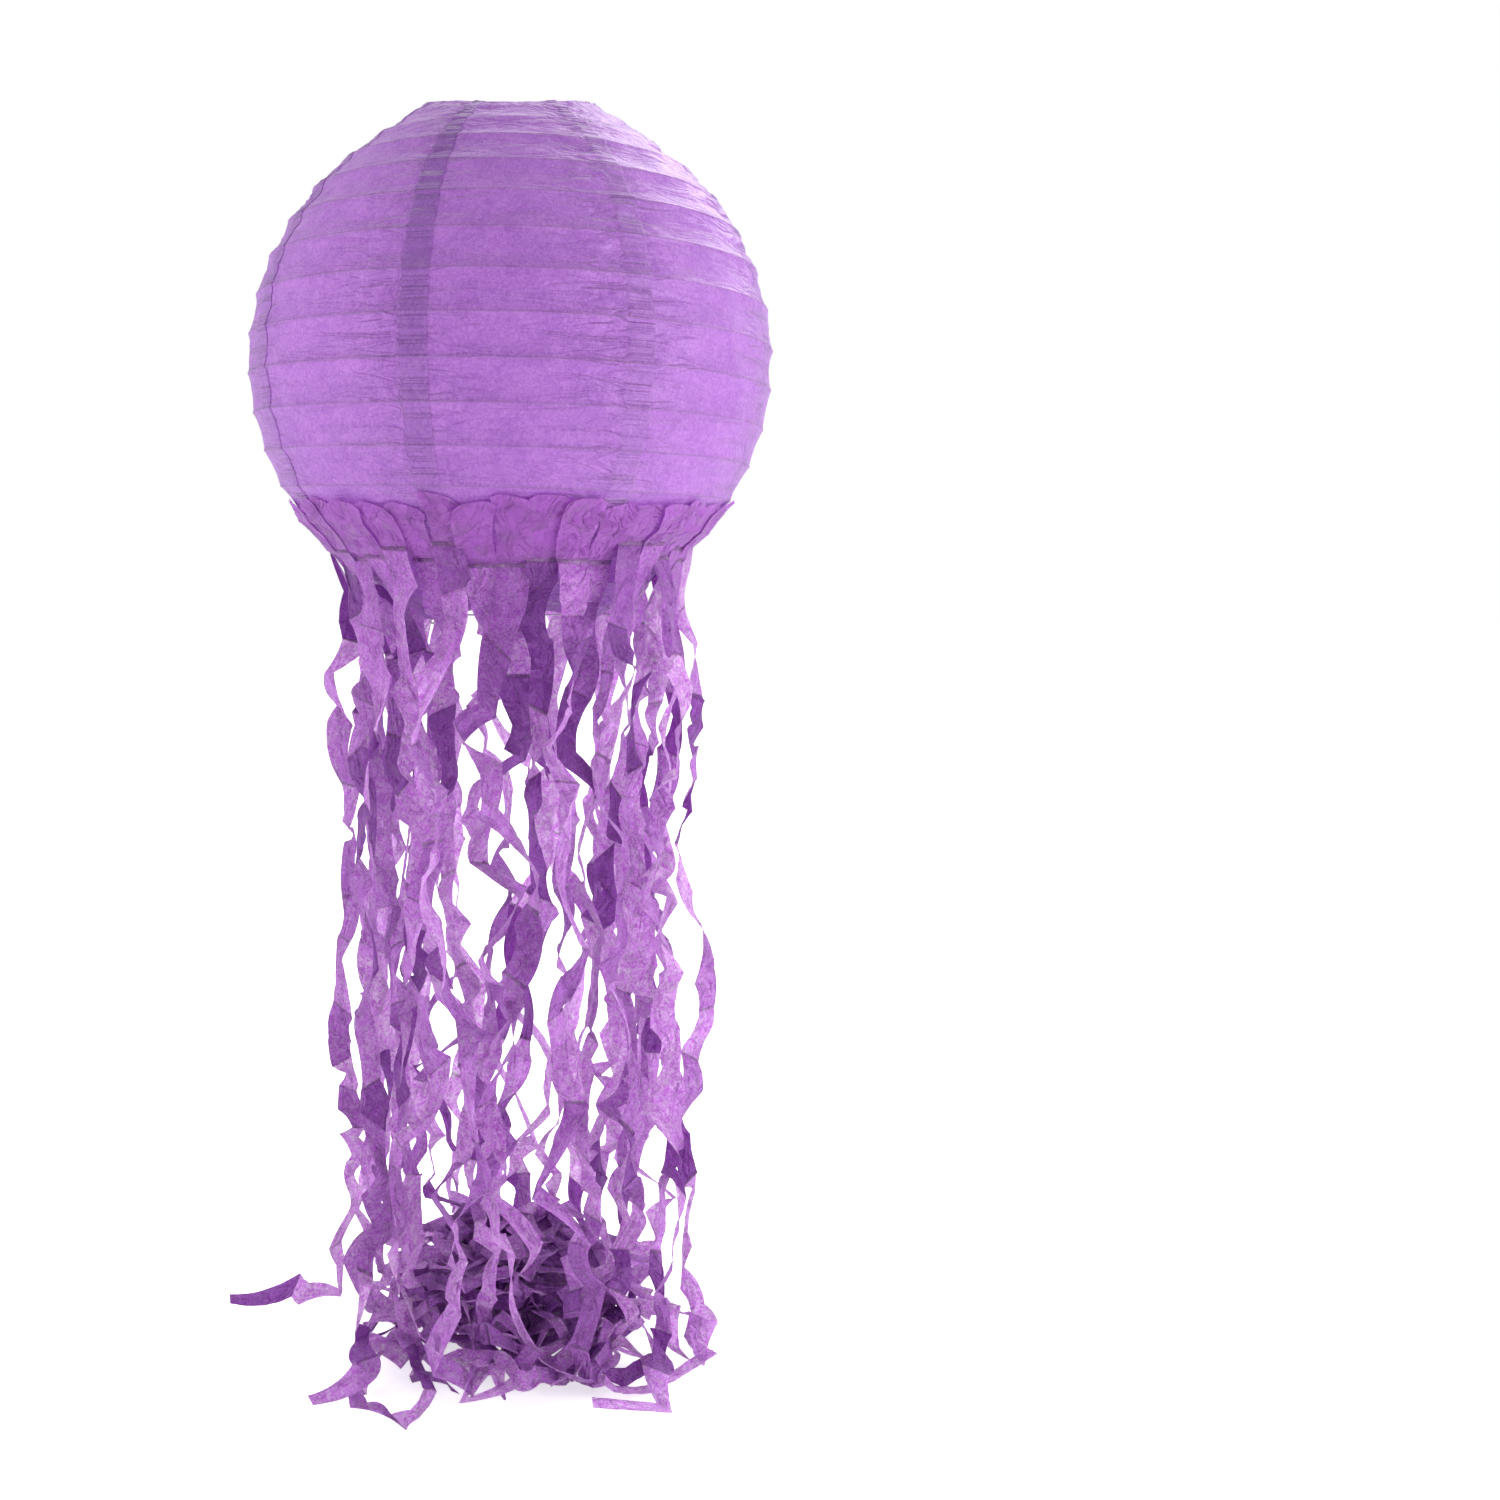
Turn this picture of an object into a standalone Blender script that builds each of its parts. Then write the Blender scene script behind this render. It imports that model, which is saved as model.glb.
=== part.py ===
"""A jellyfish paper lantern: a globe of tissue paper on a spiral wire, held open by a
wire expander, with forty tissue streamers glued round its lower half.

Metres, +Z up. The front of the lantern faces -Y. The origin is the hanging point, under
the kink in the middle of the expander's top bar. The streamers are longer than the drop
below the globe, so their ends lie in a loose heap on the surface under the lantern.
"""

import math
import random

import bpy
import numpy as np

# Paper globe
GLOBE_RADIUS = 0.150
GLOBE_SQUASH = 0.96
OPENING_RADIUS = 0.050
SHOULDER_ARC = 0.052
HOOP_LIFT = 0.0083
HOOP_SADDLE = 0.0083
PAPER = 0.00025
GORES = 8
CELLS_PER_GORE = 5
SEAM_BAND = 0.0157
SEAM_AZIMUTH = math.radians(-111.9)
HEM_TURN = math.radians(118)

# Wires
WIRE_DIAMETER = 0.0010
RIB_TURNS = 16
RIB_START_GORE = 5
RIB_INSET = 0.0022
RIB_TO_HOOP = 0.0010
KINK_HEIGHT = 0.0030
KINK_HALF_WIDTH = 0.0055
EYE_RADIUS = 0.0042
EYE_REACH = 0.0046
HUMP_HEIGHT = 0.0050
HUMP_RADIUS = 0.0016
HOLDER_LENGTH = 0.0070
HOLDER_HALF_WIDTH = 0.0084
HOLDER_CENTRE = 0.0032
HOLDER_END = math.radians(150)

# Streamers
STREAMERS = GORES * CELLS_PER_GORE
STREAMER_PAPER = 0.0004
HEAD_WIDTH = 0.0175
HEAD_NECK_WIDTH = 0.0132
STREAMER_WIDTH = 0.0120
HEAD_TOP = math.radians(122.5)
HEAD_END = math.radians(139.4)
HEAD_CORNER = math.radians(1.0)
HEAD_TOP_SHARE = 0.62
FLOOR_DROP = 0.583

# The streamers' fall, in four layers from outside to inside
LAYER_ORDER = (0, 2, 1, 3)
OUTER_FLARE = 0.012
SETTLING_DROP = (0.050, 0.034, 0.045, 0.060)
UPPER_DROPS = (0.010, 0.024, 0.042)
FIRST_KINK_DROP = 0.060
KINK_SPACING = 0.041
KINK_PUSH = (0.35, 0.90)
WANDER_SHARE = 0.9
KINK_TWIST = (0.35, 1.15)
LARGEST_TWIST = math.radians(52)
SWELL_REACH = 0.0045
SWELL_LENGTH = 0.17
SWELL_FADE = 0.090

# The heap of their ends
HEAP_PITCH = 0.0014
HEAP_LIFT = 0.0030
HEAP_SLOPE = 0.15
HEAP_WAVE_X = 0.095
HEAP_WAVE_Y = 0.104
HEAP_FADE_TOP = 0.160
HEAP_FADE = 0.080
TAIL_STEP = 0.015
TAIL_STEPS = 12
TAIL_BEND = 0.007
TAIL_CURVE = (0.35, 0.68)
TAIL_TURNS_BACK = 0.3
TAIL_TRIES = 120
TAIL_LIMIT = 0.019
STRAY_UNIT = 0.001

# Gaps between neighbours
CLEARANCE = 0.00025
SEAM_CLEARANCE = 0.00035
LAYER_CLEARANCE = 0.0012
TAIL_CLEARANCE = 0.0018
STRIP_CLEARANCE = 0.0030

# What follows from them
WIRE_RADIUS = WIRE_DIAMETER / 2
RIB_RADIUS = GLOBE_RADIUS - PAPER - CLEARANCE - WIRE_RADIUS
RIB_HALF_HEIGHT = RIB_RADIUS * GLOBE_SQUASH
STATIONS = GORES * CELLS_PER_GORE
RIM_ANGLE = math.asin(OPENING_RADIUS / RIB_RADIUS)
RIB_FIRST = RIM_ANGLE + RIB_INSET / RIB_RADIUS
RIB_STEP = (math.pi - 2 * RIB_FIRST) / RIB_TURNS
EYE_HEIGHT = RIB_HALF_HEIGHT * math.cos(RIM_ANGLE) + HOOP_LIFT
BAR_HEIGHT = EYE_HEIGHT - WIRE_DIAMETER - CLEARANCE
CENTRE_Z = -(BAR_HEIGHT + KINK_HEIGHT - WIRE_RADIUS)
SKIN_OFFSET = WIRE_RADIUS + CLEARANCE
FLAP_LIFT = PAPER + SEAM_CLEARANCE
HEAD_OFFSET = SKIN_OFFSET + FLAP_LIFT + PAPER + CLEARANCE + STREAMER_PAPER / 2
EYE_CENTRE = OPENING_RADIUS - EYE_REACH
LAYER_STEP = STREAMER_WIDTH + LAYER_CLEARANCE
PER_LAYER = STREAMERS // len(LAYER_ORDER)
LEAVING_RADIUS = RIB_RADIUS * math.sin(HEAD_END)
LEAVING_HEIGHT = FLOOR_DROP + RIB_HALF_HEIGHT * math.cos(HEAD_END)
FLOOR_Z = CENTRE_Z - FLOOR_DROP
LAST_KINK = STREAMERS * HEAP_PITCH + TAIL_BEND


def material(name, colour, roughness, metallic=0.0):
    """A plain Principled material of one colour."""
    made = bpy.data.materials.new(name)
    made.use_nodes = True
    shader = made.node_tree.nodes["Principled BSDF"]
    shader.inputs["Base Color"].default_value = (*colour, 1.0)
    shader.inputs["Roughness"].default_value = roughness
    shader.inputs["Metallic"].default_value = metallic
    return made


def add_solid(name, points, triangles, finish):
    """Puts a closed triangle mesh in the scene, turned so that its faces point out."""
    points = np.asarray(points, float)
    triangles = np.asarray(triangles, int)
    a, b, c = (points[triangles[:, i]] for i in range(3))
    if np.einsum("ij,ij->i", a, np.cross(b, c)).sum() < 0:
        triangles = triangles[:, ::-1]
    mesh = bpy.data.meshes.new(name)
    mesh.from_pydata(points.tolist(), [], triangles.tolist())
    mesh.materials.append(finish)
    mesh.shade_smooth()
    mesh.set_sharp_from_angle(angle=math.radians(40))
    made = bpy.data.objects.new(name, mesh)
    bpy.context.collection.objects.link(made)
    return made


def quads_to_triangles(quads):
    """Splits quads along the same diagonal, so that both sides of a sheet match."""
    quads = np.asarray(quads, int)
    return np.vstack([quads[:, [0, 1, 2]], quads[:, [0, 2, 3]]])


def tube(name, points, normals, sides, closed, finish):
    """A wire: a ring of corners round each point, in the plane across the route."""
    points = np.asarray(points, float)
    normals = np.asarray(normals, float)
    if closed:
        along = np.roll(points, -1, axis=0) - np.roll(points, 1, axis=0)
    else:
        along = np.gradient(points, axis=0)
    along /= np.linalg.norm(along, axis=1, keepdims=True)
    normals = normals - along * np.sum(normals * along, axis=1, keepdims=True)
    normals /= np.linalg.norm(normals, axis=1, keepdims=True)
    across = np.cross(along, normals)
    angles = np.arange(sides) * math.tau / sides
    rings = points[:, None] + WIRE_RADIUS * (
        np.cos(angles)[None, :, None] * normals[:, None]
        + np.sin(angles)[None, :, None] * across[:, None]
    )
    count = len(points)
    quads = []
    for i in range(count if closed else count - 1):
        j = (i + 1) % count
        for k in range(sides):
            m = (k + 1) % sides
            quads.append((i * sides + k, i * sides + m, j * sides + m, j * sides + k))
    triangles = list(quads_to_triangles(quads))
    if not closed:
        last = (count - 1) * sides
        for k in range(1, sides - 1):
            triangles.append((0, k + 1, k))
            triangles.append((last, last + k, last + k + 1))
    return add_solid(name, rings.reshape(-1, 3), triangles, finish)


def sheet_solid(name, inner, outer, finish):
    """Paper between two grids of points with the same rows and columns."""
    rows, columns = inner.shape[:2]
    size = rows * columns

    def at(side, i, j):
        return side * size + i * columns + j

    quads = []
    for i in range(rows - 1):
        for j in range(columns - 1):
            quads.append((at(1, i, j), at(1, i, j + 1), at(1, i + 1, j + 1), at(1, i + 1, j)))
            quads.append((at(0, i, j), at(0, i, j + 1), at(0, i + 1, j + 1), at(0, i + 1, j)))
    triangles = quads_to_triangles(quads)
    inside = np.arange(len(quads)) % 2 == 1
    flip = np.concatenate([inside, inside])
    triangles[flip] = triangles[flip][:, ::-1]
    walls = []
    for i in range(rows - 1):
        walls.append((at(0, i, 0), at(1, i, 0), at(1, i + 1, 0), at(0, i + 1, 0)))
        right = columns - 1
        walls.append((at(0, i, right), at(0, i + 1, right), at(1, i + 1, right), at(1, i, right)))
    for j in range(columns - 1):
        walls.append((at(0, 0, j), at(0, 0, j + 1), at(1, 0, j + 1), at(1, 0, j)))
        bottom = rows - 1
        walls.append((at(0, bottom, j), at(1, bottom, j), at(1, bottom, j + 1), at(0, bottom, j + 1)))
    points = np.concatenate([inner.reshape(-1, 3), outer.reshape(-1, 3)])
    return add_solid(name, points, np.vstack([triangles, quads_to_triangles(walls)]), finish)


def azimuth(station):
    """The direction of a station round the globe; the stations are its flat cells' corners."""
    return SEAM_AZIMUTH + station * math.tau / STATIONS


def rim_lift(angle):
    """How far the hoops stand off the plain globe: most at the eyes, a saddle between."""
    return HOOP_LIFT - HOOP_SADDLE * math.sin(angle) ** 2


def profile(polar, angle):
    """Radius and height of the wire's surface at a polar angle, and its outward normal."""
    radius = RIB_RADIUS * math.sin(polar)
    height = RIB_HALF_HEIGHT * math.cos(polar)
    normal = np.array([radius / RIB_RADIUS**2, height / RIB_HALF_HEIGHT**2])
    normal /= np.linalg.norm(normal)
    near = min(polar, math.pi - polar) - RIM_ANGLE
    share = max(0.0, 1.0 - near * RIB_RADIUS / SHOULDER_ARC)
    height += math.copysign(share**2, math.cos(polar)) * rim_lift(angle)
    return radius, height, normal


def corner(polar, station, offset):
    """A point at a whole station, offset outwards from the wire's surface."""
    angle = azimuth(station)
    radius, height, normal = profile(polar, angle)
    reach = radius + normal[0] * offset
    return np.array([
        reach * math.cos(angle),
        reach * math.sin(angle),
        CENTRE_Z + height + normal[1] * offset,
    ])


def hem(side, station, offset):
    """A point of the hem, turned over the hoop to its inner side; side is 1 at the top."""
    angle = azimuth(station)
    radius, height, _ = profile(RIM_ANGLE if side > 0 else math.pi - RIM_ANGLE, angle)
    reach = radius + math.cos(HEM_TURN) * offset
    return np.array([
        reach * math.cos(angle),
        reach * math.sin(angle),
        CENTRE_Z + height + side * math.sin(HEM_TURN) * offset,
    ])


def along_cell(point_at, station):
    """A point between two stations, on the straight line that joins their points."""
    low = math.floor(station + 1e-9)
    share = station - low
    start = point_at(low)
    if share < 1e-6:
        return start
    return start + share * (point_at(low + 1) - start)


def rib_polar(row, station):
    """The polar angle of the spiral's row where it crosses a station."""
    turned = (station - RIB_START_GORE * CELLS_PER_GORE) / STATIONS
    return RIB_FIRST + RIB_STEP * (row + turned)


def gore_rows(first, last):
    """The spiral's rows that a gore passes over clear of both hoops."""
    margin = RIB_TO_HOOP / RIB_RADIUS
    rows = []
    for row in range(-2, RIB_TURNS + 2):
        low = rib_polar(row, first)
        high = rib_polar(row, last)
        if low > RIM_ANGLE + margin and high < math.pi - RIM_ANGLE - margin:
            rows.append(row)
    return rows


def make_gore(index, finish):
    """One gore: flat cells from rib to rib, a hem at each end, and a flap on its right."""
    turn = index if index >= RIB_START_GORE else index + GORES
    first = turn * CELLS_PER_GORE
    last = first + CELLS_PER_GORE
    cell = GLOBE_RADIUS * math.tau / STATIONS
    butt = first + 2 * CLEARANCE / cell
    flap = last + SEAM_BAND / cell
    columns = [butt, *range(first + 1, last), last, flap]
    lifts = [0.0] * CELLS_PER_GORE + [FLAP_LIFT, FLAP_LIFT]
    rows = gore_rows(butt, flap)
    grids = []
    for thickness in (0.0, PAPER):
        grid = np.zeros((len(rows) + 4, len(columns), 3))
        for j, (station, lift) in enumerate(zip(columns, lifts)):
            offset = SKIN_OFFSET + lift + thickness
            line = [
                lambda s: hem(1, s, offset),
                lambda s: corner(RIM_ANGLE, s, offset),
                *[lambda s, row=row: corner(rib_polar(row, s), s, offset) for row in rows],
                lambda s: corner(math.pi - RIM_ANGLE, s, offset),
                lambda s: hem(-1, s, offset),
            ]
            for i, point_at in enumerate(line):
                grid[i, j] = along_cell(point_at, station)
        grids.append(grid)
    return sheet_solid(f"gore_{index + 1}", grids[0], grids[1], finish)


def make_rib_spiral(finish):
    """The rib wire, wound from the top mouth to the bottom one."""
    start = RIB_START_GORE * CELLS_PER_GORE
    points = []
    normals = []
    for station in range(start, start + RIB_TURNS * STATIONS + 1):
        polar = rib_polar(0, station)
        points.append(corner(polar, station, 0.0))
        normals.append(corner(polar, station, 1.0) - points[-1])
    return tube("rib_spiral", points, normals, 4, False, finish)


def make_hoop(name, polar, finish):
    """A mouth's hoop, pushed out of flat where the expander's ends bear on it."""
    points = [corner(polar, station, 0.0) for station in range(STATIONS)]
    normals = [(point[0], point[1], 0.0) for point in points]
    return tube(name, points, normals, 6, True, finish)


def make_eye(name, side, end, finish):
    """An open eye inside a hoop: an arc whose two ends butt on the hoop's inner side."""
    flat = OPENING_RADIUS * math.cos(math.pi / STATIONS)
    room = flat - WIRE_RADIUS - CLEARANCE - EYE_CENTRE
    start = math.acos(room / (EYE_RADIUS + WIRE_RADIUS))
    points = []
    for angle in np.linspace(start, math.tau - start, 15):
        points.append((
            side * (EYE_CENTRE + EYE_RADIUS * math.cos(angle)),
            EYE_RADIUS * math.sin(angle),
            CENTRE_Z + end * EYE_HEIGHT,
        ))
    return tube(name, points, [(0, 0, 1)] * len(points), 6, False, finish)


def expander_end():
    """The right upper quarter of the expander: half the bar, a hump, and the leg's top."""
    turn = HUMP_RADIUS
    points = [(KINK_HALF_WIDTH, BAR_HEIGHT)]
    rise = EYE_CENTRE - HUMP_RADIUS
    for angle in np.radians([-90, -60, -30, 0]):
        x = rise - turn + turn * math.cos(angle)
        points.append((x, BAR_HEIGHT + turn + turn * math.sin(angle)))
    crown = BAR_HEIGHT + HUMP_HEIGHT - HUMP_RADIUS
    for angle in np.radians([180, 135, 90, 45, 0]):
        x = EYE_CENTRE + HUMP_RADIUS * math.cos(angle)
        points.append((x, crown + HUMP_RADIUS * math.sin(angle)))
    return points


def make_expander(finish):
    """One closed wire frame: top bar with its kink, legs, and the bottom bar."""
    quarter = expander_end()
    right = [*quarter, *[(x, -z) for x, z in reversed(quarter)]]
    left = [(-x, z) for x, z in reversed(right)]
    outline = [(0.0, BAR_HEIGHT + KINK_HEIGHT), *right, *left]
    points = [(x, 0.0, CENTRE_Z + z) for x, z in outline]
    return tube("expander", points, [(0, 1, 0)] * len(points), 6, True, finish)


def make_cord_holder(finish):
    """The C that a lamp's cord clips into, welded by its back under the top bar."""
    level = CENTRE_Z + BAR_HEIGHT - WIRE_DIAMETER - CLEARANCE
    points = []
    for angle in np.linspace(-HOLDER_END, HOLDER_END, 21):
        points.append((
            HOLDER_CENTRE + HOLDER_LENGTH * math.cos(angle),
            HOLDER_HALF_WIDTH * math.sin(angle),
            level,
        ))
    return tube("cord_holder", points, [(0, 0, 1)] * len(points), 6, False, finish)


def smooth(share):
    """Eases from 0 to 1 as share goes from 0 to 1."""
    share = min(1.0, max(0.0, share))
    return share * share * (3 - 2 * share)


def layer_radius(layer):
    """The radius at which a layer of streamers hangs; layer 0 is the outermost."""
    return LEAVING_RADIUS + OUTER_FLARE - layer * LAYER_STEP


def head_stations(index):
    """The glued head: rounded at its top, flat on one cell, bent over each rib it crosses."""
    middle = index + 0.5
    rows = [rib_polar(row, middle) for row in range(-RIB_TURNS, 2 * RIB_TURNS)]
    shoulder = HEAD_TOP + HEAD_CORNER
    crossed = [p for p in rows if shoulder + HEAD_CORNER / 2 < p < HEAD_END - HEAD_CORNER / 2]
    polars = [HEAD_TOP, shoulder, *crossed, HEAD_END]
    stations = []
    for polar in polars:
        low = corner(polar, index, HEAD_OFFSET)
        high = corner(polar, index + 1, HEAD_OFFSET)
        across = high - low
        across /= np.linalg.norm(across)
        share = (polar - HEAD_TOP) / (HEAD_END - HEAD_TOP)
        width = HEAD_WIDTH + share * (HEAD_NECK_WIDTH - HEAD_WIDTH)
        if polar == HEAD_TOP:
            width *= HEAD_TOP_SHARE
        stations.append(((low + high) / 2, across, width))
    return stations


def heap_rank(index):
    """The place of a streamer's end in the heap: the outer layer lies lowest."""
    place, layer_index = divmod(index, len(LAYER_ORDER))
    return LAYER_ORDER[layer_index] * PER_LAYER + place * 3 % PER_LAYER


def hand_laid_tail(index):
    """The ends that stray from the heap, as steps from where each one lands."""
    laid = {
        0: [(6, 15), (17, 27), (31, 35), (45, 45)],
        8: [(9, -15), (8, -32), (-4, -44), (-20, -48), (-35, -53), (-46, -61)],
        12: [(13, -6), (20, -21), (16, -40), (5, -56), (-4, -74)],
        32: [(-13, 3), (-26, 13), (-39, 23), (-54, 26), (-68, 20)],
        36: [(13, -11), (19, -27), (10, -41), (-6, -45), (-24, -43)],
    }
    return [np.array(p) * STRAY_UNIT for p in laid.get(index, [])]


def distance_to_landing(point, landing):
    """How far a point is from the short stretch where a streamer turns onto the heap."""
    start, heading = landing
    reach = min(TAIL_BEND, max(0.0, float(np.dot(point - start, heading))))
    return float(np.linalg.norm(point - start - heading * reach))


def free_tail(start, heading, draw, landings, limit):
    """One wandering tail: arcs of the cut paper, until it would meet a hanging strip."""
    apart = STREAMER_WIDTH + TAIL_CLEARANCE
    path = [start + heading * TAIL_BEND]
    if any(distance_to_landing(path[0], other) < apart for other in landings):
        return []
    angle = math.atan2(heading[1], heading[0])
    bend = draw.choice((-1, 1)) * draw.uniform(*TAIL_CURVE)
    for _ in range(TAIL_STEPS):
        if draw.random() < TAIL_TURNS_BACK:
            bend = -math.copysign(draw.uniform(*TAIL_CURVE), bend)
        angle += bend
        point = path[-1] + TAIL_STEP * np.array([math.cos(angle), math.sin(angle)])
        if np.linalg.norm(point) > limit:
            break
        if any(distance_to_landing(point, other) < apart for other in landings):
            break
        halfway = (point + path[-1]) / 2
        if any(distance_to_landing(halfway, other) < apart for other in landings):
            break
        if any(np.linalg.norm(point - old) < apart for old in [start, *path[:-1]]):
            break
        path.append(point)
    return path


def drop_positions(index, draw):
    """A strip's kinks, each as its height above the floor and its wander along the layer."""
    radius = layer_radius(LAYER_ORDER[index % len(LAYER_ORDER)])
    spacing = radius * math.tau / PER_LAYER
    wander = (spacing - STREAMER_WIDTH - STRIP_CLEARANCE) / 2 * WANDER_SHARE
    first = LEAVING_HEIGHT - FIRST_KINK_DROP
    count = round((first - LAST_KINK) / KINK_SPACING)
    heights = np.linspace(first, LAST_KINK, count + 1)
    arc = draw.uniform(-0.4, 0.4) * wander
    steps = []
    for height in heights:
        steps.append((height, arc))
        push = draw.uniform(*KINK_PUSH) * wander * draw.choice((-1, 1))
        if abs(arc + push) > wander:
            push = -push
        arc = max(-wander, min(wander, arc + push))
    return steps


def plan_streamers():
    """Where each streamer lands and how its tail lies, worked out from the lowest up."""
    plans = {}
    landings = []
    for index in sorted(range(STREAMERS), key=heap_rank):
        draw = random.Random(100 + index)
        steps = drop_positions(index, draw)
        radius = layer_radius(LAYER_ORDER[index % len(LAYER_ORDER)])
        angle = azimuth(index + 0.5)
        laid = hand_laid_tail(index)
        if laid:
            steps[-1] = (steps[-1][0], 0.0)
        angle += steps[-1][1] / radius
        start = radius * np.array([math.cos(angle), math.sin(angle)])
        best = []
        if laid:
            heading = laid[0] / np.linalg.norm(laid[0])
            best = [start + heading * TAIL_BEND] + [start + step for step in laid]
            chosen = heading
        else:
            limit = radius + TAIL_LIMIT
            for _ in range(TAIL_TRIES):
                turn = angle + draw.uniform(-math.pi, math.pi)
                heading = np.array([math.cos(turn), math.sin(turn)])
                path = free_tail(start, heading, draw, landings, limit)
                if len(path) > len(best):
                    best = path
                    chosen = heading
                if len(best) > TAIL_STEPS:
                    break
        landings.append((start, chosen))
        plans[index] = (steps, start, chosen, best)
    return plans


def sway(point):
    """A slow in-and-out swell of the whole curtain, and the heap's unevenness.

    Every streamer passes through the same swell, so neighbours keep their distance.
    """
    x, y, z = point
    above = z - FLOOR_Z
    below_globe = smooth((LEAVING_HEIGHT - above) / SWELL_FADE)
    swell = below_globe * smooth((above - LAST_KINK) / SWELL_FADE)
    angle = math.atan2(y, x)
    reach = SWELL_REACH * swell * math.sin(2 * angle + above * math.tau / SWELL_LENGTH)
    lift = min(HEAP_SLOPE * above, HEAP_LIFT) * smooth((HEAP_FADE_TOP - above) / HEAP_FADE)
    across = math.sin(x * math.tau / HEAP_WAVE_X + 1)
    rise = lift * across * math.sin(y * math.tau / HEAP_WAVE_Y + 2)
    radius = math.hypot(x, y)
    scale = (radius + reach) / radius if radius > 0 else 1.0
    return np.array([x * scale, y * scale, z + rise])


def hanging_stations(index, plan):
    """The free part: down from the head to the layer, kinking and twisting to the heap."""
    steps, start, heading, tail = plan
    draw = random.Random(500 + index)
    layer = LAYER_ORDER[index % len(LAYER_ORDER)]
    target = layer_radius(layer)
    leave = LEAVING_RADIUS + HEAD_OFFSET
    base_angle = azimuth(index + 0.5)
    rest = STREAMER_PAPER + heap_rank(index) * HEAP_PITCH

    route = [(LEAVING_HEIGHT - drop, 0.0) for drop in UPPER_DROPS]
    route += steps
    end_twist = math.atan2(heading[1], heading[0]) - base_angle - steps[-1][1] / target
    twist = 0.0
    twists = [0.0] * len(UPPER_DROPS)
    for _ in steps[:-1]:
        twist += draw.choice((-1, 1)) * draw.uniform(*KINK_TWIST)
        twists.append(twist)
    end_twist += math.pi * round((twist - end_twist) / math.pi)
    if abs(end_twist - twist) > LARGEST_TWIST:
        middle = tuple((a + b) / 2 for a, b in zip(route[-2], route[-1]))
        route.insert(-1, middle)
        twists.append((twist + end_twist) / 2)
    twists.append(end_twist)

    stations = []
    for (height, arc), turned in zip(route, twists):
        fallen = LEAVING_HEIGHT - height
        radius = leave + (target - leave) * smooth(fallen / SETTLING_DROP[layer])
        angle = base_angle + arc / radius
        point = np.array([radius * math.cos(angle), radius * math.sin(angle), FLOOR_Z + height])
        width_angle = angle + math.pi / 2 + turned
        across = np.array([math.cos(width_angle), math.sin(width_angle), 0.0])
        narrowed = smooth(fallen / FIRST_KINK_DROP) * (HEAD_NECK_WIDTH - STREAMER_WIDTH)
        stations.append((point, across, HEAD_NECK_WIDTH - narrowed))

    side = np.array([-heading[1], heading[0], 0.0])
    if np.dot(side, stations[-1][1]) < 0:
        side = -side
    turn = TAIL_BEND * (1 - math.sqrt(0.5))
    for forward, up in ((0.0, TAIL_BEND), (turn, turn)):
        flat = start + heading * forward
        stations.append((np.array([*flat, FLOOR_Z + rest + up]), side, STREAMER_WIDTH))
    sign = 1.0 if np.dot(side[:2], (-heading[1], heading[0])) > 0 else -1.0
    for i, flat in enumerate(tail):
        before = tail[i - 1] if i else start
        after = tail[min(i + 1, len(tail) - 1)]
        along = after - before
        along /= np.linalg.norm(along)
        across = sign * np.array([-along[1], along[0], 0.0])
        stations.append((np.array([*flat, FLOOR_Z + rest]), across, STREAMER_WIDTH))
    swayed = []
    for point, across, width in stations:
        low = sway(point - across * width / 2)
        high = sway(point + across * width / 2)
        span = np.linalg.norm(high - low)
        swayed.append(((low + high) / 2, (high - low) / span, span))
    return swayed


def make_streamer(index, plan, finish):
    """One cut strip: its glued head, its kinked and twisted fall, and its end in the heap."""
    stations = head_stations(index) + hanging_stations(index, plan)
    points = np.array([s[0] for s in stations])
    across = np.array([s[1] for s in stations])
    widths = np.array([s[2] for s in stations])
    steps = np.diff(points, axis=0)
    steps /= np.linalg.norm(steps, axis=1, keepdims=True)
    along = np.vstack([steps[:1], steps[1:] + steps[:-1], steps[-1:]])
    along /= np.linalg.norm(along, axis=1, keepdims=True)
    across = across - along * np.sum(across * along, axis=1, keepdims=True)
    across /= np.linalg.norm(across, axis=1, keepdims=True)
    normal = np.cross(along, across)
    half = across * widths[:, None] / 2
    lift = normal * STREAMER_PAPER / 2
    inner = np.stack([points - half - lift, points + half - lift], axis=1)
    outer = np.stack([points - half + lift, points + half + lift], axis=1)
    return sheet_solid(f"streamer_{index + 1:02d}", inner, outer, finish)


def build_lantern():
    """Makes every piece of the lantern in its place."""
    for old in list(bpy.data.objects):
        bpy.data.objects.remove(old, do_unlink=True)
    globe_paper = material("globe_paper", (0.42, 0.19, 0.62), 0.75)
    streamer_paper = material("streamer_paper", (0.36, 0.14, 0.55), 0.75)
    steel = material("steel_wire", (0.60, 0.60, 0.62), 0.35, 1.0)
    for index in range(GORES):
        make_gore(index, globe_paper)
    make_rib_spiral(steel)
    make_hoop("top_hoop", RIM_ANGLE, steel)
    make_hoop("bottom_hoop", math.pi - RIM_ANGLE, steel)
    for end, level in ((1, "top"), (-1, "bottom")):
        for side, hand in ((-1, "left"), (1, "right")):
            make_eye(f"eye_{level}_{hand}", side, end, steel)
    make_expander(steel)
    make_cord_holder(steel)
    plans = plan_streamers()
    for index in range(STREAMERS):
        make_streamer(index, plans[index], streamer_paper)


build_lantern()
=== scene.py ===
import math
import random

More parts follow.
